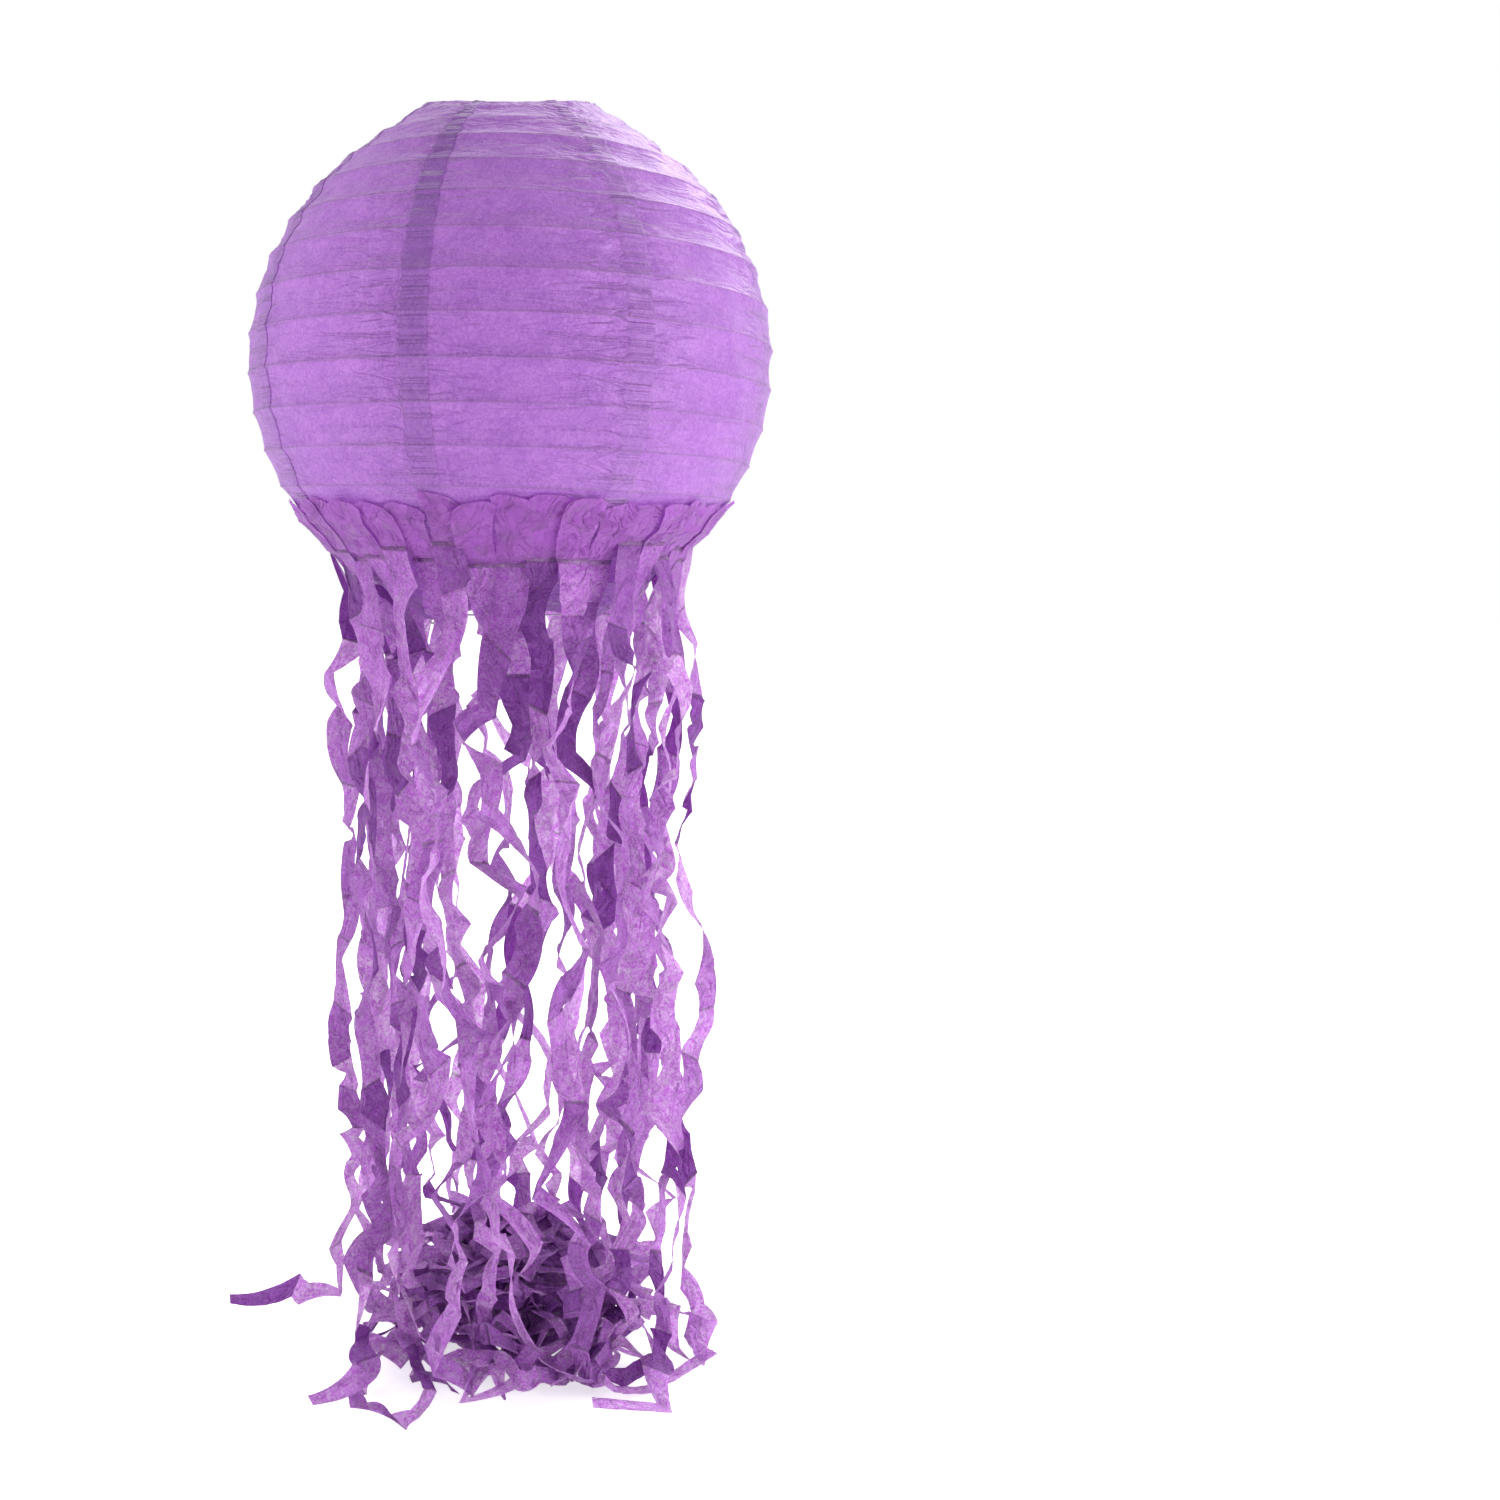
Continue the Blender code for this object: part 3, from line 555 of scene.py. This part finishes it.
for gore_index in range(8):
    first = gore_stations * (gore_index if gore_index >= 5 else gore_index + 8)
    station = first + np.concatenate([
        np.linspace(0.02, 4.94, 42), [4.99, 5.06], np.linspace(5.16, lap_end, 7),
    ])[None]
    azimuth = first_seam + station * math.tau / stations
    lapping = np.clip((station - first - 4.95) / 0.10, 0, 1)
    lift = skin_offset + lap_lift * lapping
    ease = np.clip(np.minimum(level, rib_turns - level) / 2.2, 0, 1)
    ease = ease * ease * (3 - 2 * ease)
    polar = rib_first + rib_step * (level + ease * (station - start_station) / stations)
    relief = paper_relief(polar, station)
    faces = []
    for thickness in (paper, 0.0):
        offset = lift + thickness
        grid = [globe_point(polar, azimuth, relief + offset)]
        for end in (1, -1):
            rim = globe_point(mouth_polar if end > 0 else math.pi - mouth_polar, azimuth, 0.0)[0]
            pleats = np.abs(lattice_noise(station * 100 / stations, end * 3.5, 13, 100))
            pleat = offset * (1 + 0.5 * pleats)
            outward = np.cos(hem_turn)[:, None] * pleat
            upward = end * (np.sin(hem_turn)[:, None] * pleat - hem_drop[:, None])
            hem = np.stack([
                rim[None, :, 0] + np.cos(azimuth) * outward,
                rim[None, :, 1] + np.sin(azimuth) * outward,
                rim[None, :, 2] + upward,
            ], axis=-1)
            grid = [hem[::-1], *grid] if end > 0 else [*grid, hem]
        faces.append(np.concatenate(grid))
    bays = ribs_above(polar, station)
    hem_bays = np.arange(1, len(hem_turn) + 1)[:, None] * 0.03
    bays = np.concatenate([bays[:1] - hem_bays[::-1], bays, bays[-1:] + hem_bays])
    # Past 1, the UV's X carries the depth of the painted lap shade on the lap.
    across = np.minimum((station - first) / gore_stations, 1) + 0.12 * lap_shade_levels[gore_index] * lapping
    uv = np.stack(np.broadcast_arrays(across, bays / rib_turns), axis=-1)
    gore = sheet_mesh(f"tissue_gore_{gore_index + 1}", faces[0], faces[1], uv)
    gore.data.materials.append(globe_tissue)
    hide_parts(f"gore_{gore_index + 1}")


# The forty streamers. Each is one strip of the same tissue, cut in arcs from a folded
# sheet, so that it falls as a chain of bowed and twisted links with sharp folds between
# them. Its broad head is glued to the lower globe, and its end lies in the heap below.
streamers = 40
strip_width = 0.0120
head_top = math.radians(122.5)
head_end = math.radians(139.4)
layer_order = (0, 2, 1, 3)
floor_drop = 0.583
floor_z = centre_z - floor_drop
head_breadth = 0.0225
neck_breadth = 0.0175
strip_breadth = 0.0132
layer_gap = 0.0132
outer_layer = 0.012
layer_clearance = 0.0030
leaving_radius = rib_radius * math.sin(head_end)
leaving_height = floor_drop + rib_half_height * math.cos(head_end)
heap_pitch = 0.0014
tail_bend = 0.007
tail_gap = 0.0018
tail_step = 0.015
tail_bends = (0.35, 0.68)
first_kink_drop = 0.060
kink_spacing = 0.041
last_kink = streamers * heap_pitch + tail_bend
largest_twist = math.radians(52)


def layer_radius(index):
    """The radius of the cylinder on which a streamer hangs, one of four."""
    return leaving_radius + outer_layer - layer_order[index % 4] * layer_gap


def heap_rank(index):
    """The place of a streamer's end in the heap: the outer layer lies lowest."""
    return layer_order[index % 4] * 10 + index // 4 * 3 % 10


def strip_azimuth(index):
    return first_seam + (index + 0.5) * math.tau / streamers


def from_landing(point, landing):
    """The distance from a point to the short line on which a streamer meets the heap."""
    start, heading = landing
    reach = min(tail_bend, max(0.0, float(np.dot(point - start, heading))))
    return float(np.linalg.norm(point - start - heading * reach))


def wandering_tail(start, heading, draw, landings, limit):
    """Steps of 15 mm that keep turning one way for a while, clear of the other strips."""
    apart = strip_width + tail_gap
    path = [start + heading * tail_bend]
    if any(from_landing(path[0], other) < apart for other in landings):
        return []
    angle = math.atan2(heading[1], heading[0])
    bend = draw.choice((-1, 1)) * draw.uniform(*tail_bends)
    for _ in range(12):
        if draw.random() < 0.3:
            bend = -math.copysign(draw.uniform(*tail_bends), bend)
        angle += bend
        point = path[-1] + tail_step * np.array([math.cos(angle), math.sin(angle)])
        halfway = (point + path[-1]) / 2
        if np.linalg.norm(point) > limit:
            break
        if any(from_landing(p, other) < apart for p in (point, halfway) for other in landings):
            break
        if any(np.linalg.norm(point - old) < apart for old in [start, *path[:-1]]):
            break
        path.append(point)
    return path


# The ends that stray from the heap, as millimetres from where each strip lands.
strays = {
    0: [(6, 15), (17, 27), (31, 35), (45, 45)],
    8: [(9, -15), (8, -32), (-4, -44), (-20, -48), (-35, -53), (-46, -61)],
    12: [(13, -6), (20, -21), (16, -40), (5, -56), (-4, -74)],
    32: [(-13, 3), (-26, 13), (-39, 23), (-54, 26), (-68, 20)],
    36: [(13, -11), (19, -27), (10, -41), (-6, -45), (-24, -43)],
}

falls = {}
landings = []
for index in sorted(range(streamers), key=heap_rank):
    draw = random.Random(100 + index)
    radius = layer_radius(index)
    wander = (radius * math.tau / 10 - strip_width - layer_clearance) / 2 * 0.9
    first_kink = leaving_height - first_kink_drop
    count = round((first_kink - last_kink) / kink_spacing) + 1
    heights = np.linspace(first_kink, last_kink, count)
    arc = draw.uniform(-0.4, 0.4) * wander
    kinks = []
    for height in heights:
        kinks.append((height, arc))
        push = draw.uniform(0.35, 0.90) * wander * draw.choice((-1, 1))
        arc = max(-wander, min(wander, arc - push if abs(arc + push) > wander else arc + push))
    if index in strays:
        kinks[-1] = (kinks[-1][0], 0.0)
    angle = strip_azimuth(index) + kinks[-1][1] / radius
    start = radius * np.array([math.cos(angle), math.sin(angle)])
    tail = []
    if index in strays:
        steps = np.array(strays[index]) * 0.001
        heading = steps[0] / np.linalg.norm(steps[0])
        tail = [start + heading * tail_bend, *(start + steps)]
    else:
        for _ in range(120):
            turn = angle + draw.uniform(-math.pi, math.pi)
            tried = np.array([math.cos(turn), math.sin(turn)])
            path = wandering_tail(start, tried, draw, landings, radius + 0.019)
            if len(path) > len(tail):
                tail, heading = path, tried
            if len(tail) > 12:
                break
    landings.append((start, heading))
    falls[index] = (kinks, start, heading, tail)


def ease_in(share):
    share = np.clip(share, 0, 1)
    return share * share * (3 - 2 * share)


swell_depth = 0.0045
swell_length = 0.17
swell_fade = 0.090
heap_unevenness = 0.0030
heap_fade_top = 0.160
heap_fade = 0.080


def swayed(points):
    """The curtain's slow swell in and out, s sin(2 a + k h), and the heap's unevenness."""
    x, y, z = points[..., 0], points[..., 1], points[..., 2]
    above = z - floor_z
    swell = ease_in((leaving_height - above) / swell_fade)
    swell = swell * ease_in((above - last_kink) / swell_fade)
    radius = np.hypot(x, y)
    reach = swell_depth * swell * np.sin(2 * np.arctan2(y, x) + above * math.tau / swell_length)
    lift = np.minimum(0.15 * above, heap_unevenness)
    lift = lift * ease_in((heap_fade_top - above) / heap_fade)
    rise = lift * np.sin(x * math.tau / 0.095 + 1) * np.sin(y * math.tau / 0.104 + 2)
    grow = 1 + reach / np.maximum(radius, 0.001)
    return np.stack([x * grow, y * grow, z + rise], axis=-1)


loop_steps = 14
loop_step = 0.016
loops_reach = 0.118
mound_height = 0.054
mound_radius = 0.125


def heap_loops(point, heading, draw):
    """Fourteen more steps of 16 mm in a mound that slopes to the floor, most of them in front.

    Every third step picks a new goal, and each turns towards it by 0.9 radians at most. At
    a distance r from the middle the mound is 54 mm (1 - (r / 125 mm)^2) high.
    """
    way = math.atan2(heading[1], heading[0])
    loops, heights = [], []
    for step in range(loop_steps):
        if step % 3 == 0:
            reach = loops_reach * math.sqrt(draw.uniform(0.15, 1))
            turn = draw.gauss(-1.6, 1.2)
            goal = reach * np.array([math.cos(turn), math.sin(turn)]) - (0.012, 0)
        wish = math.atan2(*(goal - point)[::-1])
        towards = max(-0.9, min(0.9, (wish - way + math.pi) % math.tau - math.pi))
        way += towards + draw.uniform(-0.7, 0.7)
        point = point + loop_step * np.array([math.cos(way), math.sin(way)])
        loops.append(point)
        mound = mound_height * max(0.0, 1 - (np.linalg.norm(point) / mound_radius) ** 2)
        heights.append(0.001 + draw.uniform(0, 1) * mound)
    return loops, heights


off_globe = 0.0024
off_floor = 0.0004
neck_drops = (0.010, 0.024, 0.042)
settling_drops = (0.050, 0.034, 0.045, 0.060)  # over which each layer swings to its radius


def fall_stations(index):
    """The strip's hanging and lying part: points along it, and directions across it."""
    kinks, start, heading, tail = falls[index]
    draw = random.Random(500 + index)
    layer = layer_order[index % 4]
    target = layer_radius(index)
    leave = leaving_radius + off_globe
    base = strip_azimuth(index)
    rest = off_floor + heap_rank(index) * heap_pitch
    route = [(leaving_height - drop, 0.0) for drop in neck_drops] + kinks
    twists = [0.0, 0.0, 0.0]
    twist = 0.0
    for _ in kinks[:-1]:
        twist += draw.choice((-1, 1)) * draw.uniform(0.35, 1.15)
        twists.append(twist)
    end_twist = math.atan2(heading[1], heading[0]) - base - kinks[-1][1] / target
    end_twist += math.pi * round((twist - end_twist) / math.pi)
    if abs(end_twist - twist) > largest_twist:
        route.insert(-1, tuple((a + b) / 2 for a, b in zip(route[-2], route[-1])))
        twists.append((twist + end_twist) / 2)
    twists.append(end_twist)
    height, arc = np.array(route).T
    fallen = leaving_height - height
    settled = ease_in(fallen / settling_drops[layer])
    radius = leave + (target - leave) * settled
    angle = base + arc / radius
    points = np.stack([radius * np.cos(angle), radius * np.sin(angle), floor_z + height], axis=1)
    width_angle = angle + math.pi / 2 + np.array(twists)
    across = np.stack([np.cos(width_angle), np.sin(width_angle), 0 * height], axis=1)
    widths = strip_breadth + (strip_width - strip_breadth) * ease_in(fallen / first_kink_drop)
    side = np.array([-heading[1], heading[0]])
    sign = 1.0 if np.dot(side, across[-1, :2]) >= 0 else -1.0
    bent = tail_bend * (1 - math.sqrt(0.5))
    loops, heights = ([], []) if index in strays else heap_loops(tail[-1], heading, draw)
    tail = [*tail, *loops]
    flat = np.array([start, start + heading * bent, *tail])
    before = np.array([start, *tail[:-1]])
    after = np.array([*tail[1:], tail[-1] + (tail[-1] - before[-1])])
    along = (after - before) / np.linalg.norm(after - before, axis=1, keepdims=True)
    sides = np.concatenate([[side, side], np.stack([-along[:, 1], along[:, 0]], axis=1)]) * sign
    drops = np.array([tail_bend, bent] + [0.0] * (len(tail) - len(loops))) + rest
    drops = np.concatenate([drops, heights]) + floor_z
    points = np.concatenate([points, np.column_stack([flat, drops])])
    across = np.concatenate([across, np.column_stack([sides, np.zeros(len(sides))])])
    widths = np.concatenate([widths, np.full(len(sides), strip_width)])
    low = swayed(points - across * widths[:, None] / 2)
    high = swayed(points + across * widths[:, None] / 2)
    span = np.linalg.norm(high - low, axis=1)
    return (low + high) / 2, (high - low) / span[:, None]


def unit(vectors):
    return vectors / np.linalg.norm(vectors, axis=-1, keepdims=True)


def square_to(across, along):
    return unit(across - along * np.sum(across * along, axis=-1, keepdims=True))


# Places where the curtain has drawn apart, front and back alike: where along x, between
# which heights above the floor, and how far to each side.
partings = [
    (-0.010, 0.230, 0.435, 0.0120),
    (0.008, 0.085, 0.215, 0.0170),
    (-0.063, 0.270, 0.390, 0.0085),
    (0.054, 0.340, 0.440, 0.0080),
    (-0.042, 0.100, 0.210, 0.0110),
    (0.060, 0.110, 0.210, 0.0070),
]


def parted(points):
    """Moves points away from each parting by a tanh(d / 4 mm) exp(-(d / 30 mm)^2).

    It also draws the curtain's left side in by up to 11 mm.
    """
    points = points.copy()
    above = points[:, 2] - floor_z
    for x, low, high, reach in partings:
        away = points[:, 0] - x
        within = ease_in((above - low) / 0.035) * ease_in((high - above) / 0.035)
        points[:, 0] += reach * within * np.tanh(away / 0.004) * np.exp(-((away / 0.030) ** 2))
    hanging = ease_in((above - 0.050) / 0.050) * ease_in((leaving_height - above) / 0.050)
    points[:, 0] += 0.011 * hanging * ease_in((-points[:, 0] - 0.055) / 0.045)
    return points


head_rows = 22
strip_columns = 7
before_fold = 0.94  # where a link's last row lies, so that the fold itself stays sharp
half_thickness = 0.00012
link_lengths = (0.008, 0.013, 0.021, 0.032)
row_pitch = 0.0023
tip_breadth = 0.0012
stray_breadths = (0.0140, 0.0150, 0.0155, 0.0060)


def strip_sheet(index):
    """One strip's two faces, their UV map and the strip's length.

    Its head lies on the globe as a shingle does. Below, straight folds part it into links.
    Link i is the ruled surface P + f (Q - P) + v ((1 - f) D + f E), where P and Q are its
    ends, D and E half of the folds across them, and v runs from -1 to 1. It bows sideways
    by b (1 - (2 f - 1)^2), as it was cut, and curls by c (v^2 - 0.33) between its folds.
    Folds are shallow at the neck, and deepest where the strip comes down to the heap.
    """
    rng = np.random.default_rng(900 + index)
    share = np.linspace(0, 1, head_rows)[:, None]
    v = np.linspace(-1, 1, strip_columns)[None]
    top = head_top + rng.uniform(-0.022, 0.022)
    leaves_at = head_end + rng.uniform(-0.115, 0.012)
    head_polar = top + (leaves_at - top) * share
    head_polar = head_polar + (rng.uniform(-0.030, 0.030) * v + 0.022 * v**4) * (1 - share) ** 3
    width = head_breadth + (neck_breadth - head_breadth) * share
    arc_cut = rng.choice((-1, 1)) * rng.uniform(0.0012, 0.0036) * (1 - (2 * share - 1) ** 2)
    head_circle = rib_radius * np.sin(head_polar)
    head_azimuth = strip_azimuth(index) + (width / 2 * v + arc_cut) / head_circle
    station = (head_azimuth - first_seam) * stations / math.tau
    relief = 0.8 * paper_relief(head_polar, station)
    relief = relief + 0.00022 * lattice_noise(share * 9, v * 1.6 + index * 5, 27)
    level = 0.0020 + 0.0007 * (index * 2 % 3) + rng.uniform(-0.0003, 0.0003) * v
    level = level + rng.uniform(0.0001, 0.0009) * v**4 * (1 - share) + 0.0004 * (1 - share) ** 6
    head = globe_point(head_polar, head_azimuth, level + relief)

    points, across = fall_stations(index)
    neck = head[-1, strip_columns // 2]
    points = np.concatenate([[neck], points])
    run = np.concatenate([[0], np.cumsum(np.linalg.norm(np.diff(points, axis=0), axis=1))])
    total = run[-1]
    steps = rng.choice(link_lengths, 160) * rng.uniform(0.85, 1.15, 160)
    folds = rng.uniform(0.014, 0.034) + np.append(0, np.cumsum(steps))
    leaf = 0.036 if index in strays else 0.008
    folds = np.concatenate([[0], folds[folds < total - leaf], [total]])
    count = len(folds)
    middle = np.stack([np.interp(folds, run, points[:, k]) for k in range(3)], axis=1)
    across = np.concatenate([[unit(head[-1, -1] - head[-1, 0])], across])
    side = unit(np.stack([np.interp(folds, run, across[:, k]) for k in range(3)], axis=1))
    along = unit(np.gradient(middle, axis=0))
    side = square_to(side, along)
    normal = np.cross(side, along)
    above = middle[:, 2] - floor_z
    # From 0 to 1: how flat the strip lies at each fold, how low it is, and how free.
    lying = 1 - ease_in((above - 0.030) / 0.050)
    low = 1 - ease_in((above - 0.060) / 0.100)
    lively = ease_in((folds + 0.004) / 0.060)
    span = np.append(np.diff(folds), 0.010)
    reach = np.minimum(np.minimum(span, np.roll(span, 1)), 0.024) * lively
    turned = np.where(np.arange(count) % 2, 1, -1)
    # The folds stand off the strip's line to and fro, sideways and outwards.
    slip = turned * rng.choice((1, 1, 1, -1), count) * rng.uniform(0.08, 0.34, count)
    slip = slip * reach * (1 + 0.9 * low)
    out = turned * rng.choice((1, 1, -1), count) * rng.uniform(0.05, 0.36, count)
    out = out * reach * (1 + 0.6 * low)
    stand = lying * rng.uniform(0, 0.012, count) * rng.choice((0, 1, 1), count)
    middle = parted(middle + side * slip[:, None] + normal * (out * (1 - 0.8 * lying))[:, None])
    middle[:, 2] = np.maximum(middle[:, 2] + stand, floor_z + 0.0010)

    # Each link is twisted about its own line, and a fold lies between its two links.
    along = unit(np.diff(middle, axis=0))
    link_side = square_to(side[:-1] + side[1:], along)
    link_normal = np.cross(link_side, along)
    sideways = 0.9 * math.cos(strip_azimuth(index)) ** 4 * rng.choice((-1, 1))
    twist = lively[:-1] * (rng.uniform(-1.1, 1.1, count - 1) + sideways)
    twist[0] = 0
    if index in strays:
        leaning = 0.75 * np.sign(link_side[:, 1] * link_normal[:, 2])
        twist = twist + (leaning - twist) * lying[:-1]
    twist = twist[:, None]
    link_side = link_side * np.cos(twist) + link_normal * np.sin(twist)
    link_normal = np.cross(link_side, along)
    fold = unit(link_side[:-1] + link_side[1:])
    oblique = rng.uniform(-0.80, 0.80, count - 2) * lively[1:-1]
    fold = fold + unit(along[:-1] + along[1:]) * oblique[:, None]
    fold = np.concatenate([[side[0]], fold, [link_side[-1]]])
    breadth = neck_breadth + (strip_breadth - neck_breadth) * ease_in((folds - 0.030) / 0.080)
    breadth = breadth * (1 + lively * rng.choice((-0.35, -0.12, 0, 0.06, 0.12, 0.20), count))
    breadth = breadth * (1 - 0.27 * low)
    breadth[-1] = tip_breadth
    if index in strays:
        breadth[-4:] = stray_breadths
    fold = fold * (breadth / 2)[:, None]
    middle[:, 2] = np.maximum(middle[:, 2], floor_z + 0.0008 + np.abs(fold[:, 2]))

    # Each link's rows of points, with its bow, bend, curl and crumple.
    rows = np.maximum(3, (np.diff(folds) / row_pitch).astype(int))
    link = np.repeat(np.arange(count - 1), rows)
    first = np.cumsum(rows) - rows
    f = (np.arange(rows.sum()) - first[link]) / (rows[link] - 1) * before_fold
    f = np.append(f, 1.0)[:, None, None]
    link = np.append(link, count - 2)
    before, after = middle[link][:, None], middle[link + 1][:, None]
    across_before, across_after = fold[link][:, None], fold[link + 1][:, None]
    w = v[:, :, None]
    sheet = before + (after - before) * f + (across_before + (across_after - across_before) * f) * w
    arch = 1 - (2 * f - 1) ** 2
    extent = np.diff(folds)
    bow = rng.choice((-1, 1), count - 1) * rng.uniform(0.02, 0.13, count - 1) * extent * lively[1:]
    bend = rng.uniform(-0.07, 0.07, count - 1) * extent * lively[1:]
    curl = rng.uniform(-0.0018, 0.0018, count - 1) * lively[1:]
    sheet = sheet + link_side[link][:, None] * (bow[link][:, None, None] * arch)
    lifted = bend[link][:, None, None] * arch + curl[link][:, None, None] * (w**2 - 0.33) * arch
    place = folds[link] + extent[link] * f[:, 0, 0]
    crumple = lattice_noise(place[:, None] / 0.0062, v * 1.6 + index * 5, 17)
    crumple = crumple + 0.5 * lattice_noise(place[:, None] / 0.0031, v * 2.9 + index * 3, 19)
    loose = (0.00008 + 0.00042 * ease_in(place / 0.07))[:, None]
    sheet = sheet + link_normal[link][:, None] * (lifted + (loose * crumple)[:, :, None])

    sheet = np.concatenate([head, sheet[1:]])
    sheet[..., 2] = np.maximum(sheet[..., 2], floor_z + 0.0005 + 0.0003 * np.abs(v))
    thick = -unit(np.cross(np.gradient(sheet, axis=0), np.gradient(sheet, axis=1)))
    thick = thick * half_thickness
    head_length = (leaves_at - top) * rib_radius
    place = np.concatenate([share[:, 0] * head_length, head_length + place[1:]])
    # A random level of painted shade for each link, for parts lying double against the light and
    # parts turned from the light.
    link_shade = np.repeat(rng.choice((0, 0, 0.12, 0.32, 0.58, 1.0), count), 2)
    part = np.concatenate([np.full(head_rows, -0.5), 0.5 * link_shade[link[1:]]])
    uv = np.broadcast_arrays(place[:, None] + 2 * index, v * 0.007 + part[:, None])
    uv = np.stack(uv, axis=-1)
    return sheet - thick, sheet + thick, uv, head_length + total


streamer_tissue = tissue(
    "streamer_tissue",
    (0.475, 0.158, 0.615), (0.550, 0.208, 0.695),
    (0.78, 0.375, 0.850), (1.00, 0.990, 1.000),
    0.62, False,
)
for index in range(streamers):
    front, back, uv, total = strip_sheet(index)
    strip = sheet_mesh(f"tissue_streamer_{index + 1:02d}", front, back, uv)
    strip.data.materials.append(streamer_tissue)
    strip.data.set_sharp_from_angle(angle=math.radians(28))
    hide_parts(f"streamer_{index + 1:02d}")


# The set: a plain white floor under the streamers' ends, a white surround, a soft lamp on
# either side in front, and one behind that shines through the paper.
def set_material(name, colour, seen):
    """A matt white that the camera and reflections see as nearly its own light."""
    made = bpy.data.materials.new(name)
    made.use_nodes = True
    nodes, links = made.node_tree.nodes, made.node_tree.links
    nodes.remove(nodes["Principled BSDF"])
    matt = nodes.new("ShaderNodeBsdfDiffuse")
    matt.inputs["Color"].default_value = (*colour, 1)
    glow = nodes.new("ShaderNodeEmission")
    glow.inputs["Strength"].default_value = seen
    path = nodes.new("ShaderNodeLightPath")
    rays = nodes.new("ShaderNodeMath")
    rays.operation = "MAXIMUM"
    links.new(path.outputs["Is Camera Ray"], rays.inputs[0])
    links.new(path.outputs["Is Glossy Ray"], rays.inputs[1])
    every = nodes.new("ShaderNodeMath")
    every.operation = "MAXIMUM"
    links.new(rays.outputs["Value"], every.inputs[0])
    links.new(path.outputs["Is Transmission Ray"], every.inputs[1])
    off = nodes.new("ShaderNodeEmission")
    off.inputs["Strength"].default_value = 0.0
    chosen = nodes.new("ShaderNodeMixShader")
    links.new(every.outputs["Value"], chosen.inputs["Fac"])
    links.new(off.outputs["Emission"], chosen.inputs[1])
    links.new(glow.outputs["Emission"], chosen.inputs[2])
    both = nodes.new("ShaderNodeAddShader")
    links.new(matt.outputs["BSDF"], both.inputs[0])
    links.new(chosen.outputs["Shader"], both.inputs[1])
    links.new(both.outputs["Shader"], nodes["Material Output"].inputs["Surface"])
    return made


floor_mesh = bpy.data.meshes.new("white_floor")
floor_corners = [(-6, -6, floor_z), (6, -6, floor_z), (6, 9, floor_z), (-6, 9, floor_z)]
floor_mesh.from_pydata(floor_corners, [], [(0, 1, 2, 3)])
floor_mesh.materials.append(set_material("white_floor", (0.86, 0.86, 0.86), 0.62))
floor = bpy.data.objects.new("white_floor", floor_mesh)
bpy.context.collection.objects.link(floor)

surround = bpy.data.worlds.new("white_surround")
bpy.context.scene.world = surround
surround.use_nodes = True
sky_nodes, sky_links = surround.node_tree.nodes, surround.node_tree.links
sky = sky_nodes["Background"]
sky.inputs["Color"].default_value = (1, 1, 1, 1)
sky_path = sky_nodes.new("ShaderNodeLightPath")
sky_rays = sky_nodes.new("ShaderNodeMath")
sky_rays.operation = "MAXIMUM"
sky_links.new(sky_path.outputs["Is Camera Ray"], sky_rays.inputs[0])
sky_links.new(sky_path.outputs["Is Glossy Ray"], sky_rays.inputs[1])
sky_place = sky_nodes.new("ShaderNodeTexCoord")
sky_parts = sky_nodes.new("ShaderNodeSeparateXYZ")
sky_links.new(sky_place.outputs["Generated"], sky_parts.inputs["Vector"])
backdrop = sky_nodes.new("ShaderNodeMapRange")
backdrop.inputs["From Min"].default_value = -0.70
backdrop.inputs["From Max"].default_value = 0.30
backdrop.inputs["To Min"].default_value = 0.22
backdrop.inputs["To Max"].default_value = 1.50
sky_links.new(sky_parts.outputs["Y"], backdrop.inputs["Value"])
sky_level = sky_nodes.new("ShaderNodeMix")
sky_level.inputs["B"].default_value = 1.0
sky_links.new(sky_rays.outputs["Value"], sky_level.inputs["Factor"])
sky_links.new(backdrop.outputs["Result"], sky_level.inputs["A"])
sky_links.new(sky_level.outputs["Result"], sky.inputs["Strength"])


def soft_lamp(name, place, aim, size, power):
    """A square lamp at place that faces aim; power is in watts."""
    light = bpy.data.lights.new(name, "AREA")
    light.shape = "SQUARE"
    light.size = size
    light.energy = power
    lamp = bpy.data.objects.new(name, light)
    bpy.context.collection.objects.link(lamp)
    lamp.location = place
    back = np.array(place, float) - np.array(aim, float)
    flat = math.hypot(back[0], back[1])
    lamp.rotation_euler = (math.atan2(flat, back[2]), 0, math.atan2(back[0], -back[1]))


soft_lamp("right_lamp", (1.5, -0.8, -0.05), (0, 0, -0.3), 0.7, 21)
soft_lamp("left_lamp", (-1.5, -0.6, 0.0), (0, 0, -0.2), 1.0, 13)
soft_lamp("back_lamp", (0.8, 1.1, 1.0), (0, 0, -0.2), 0.9, 26)

scene = bpy.context.scene
scene.view_settings.view_transform = "Standard"
lens = bpy.data.cameras.new("photo_camera")
lens.lens = 38.9
lens.sensor_width = 36
lens.shift_x = 0.16
lens.clip_start = 0.05
camera = bpy.data.objects.new("photo_camera", lens)
bpy.context.collection.objects.link(camera)
camera_reach = 0.959
camera_drop = 0.101
camera_tilt = 7.2
camera.location = (0, -camera_reach, centre_z - camera_drop)
camera.rotation_euler = (math.radians(90 - camera_tilt), 0, 0)
scene.camera = camera
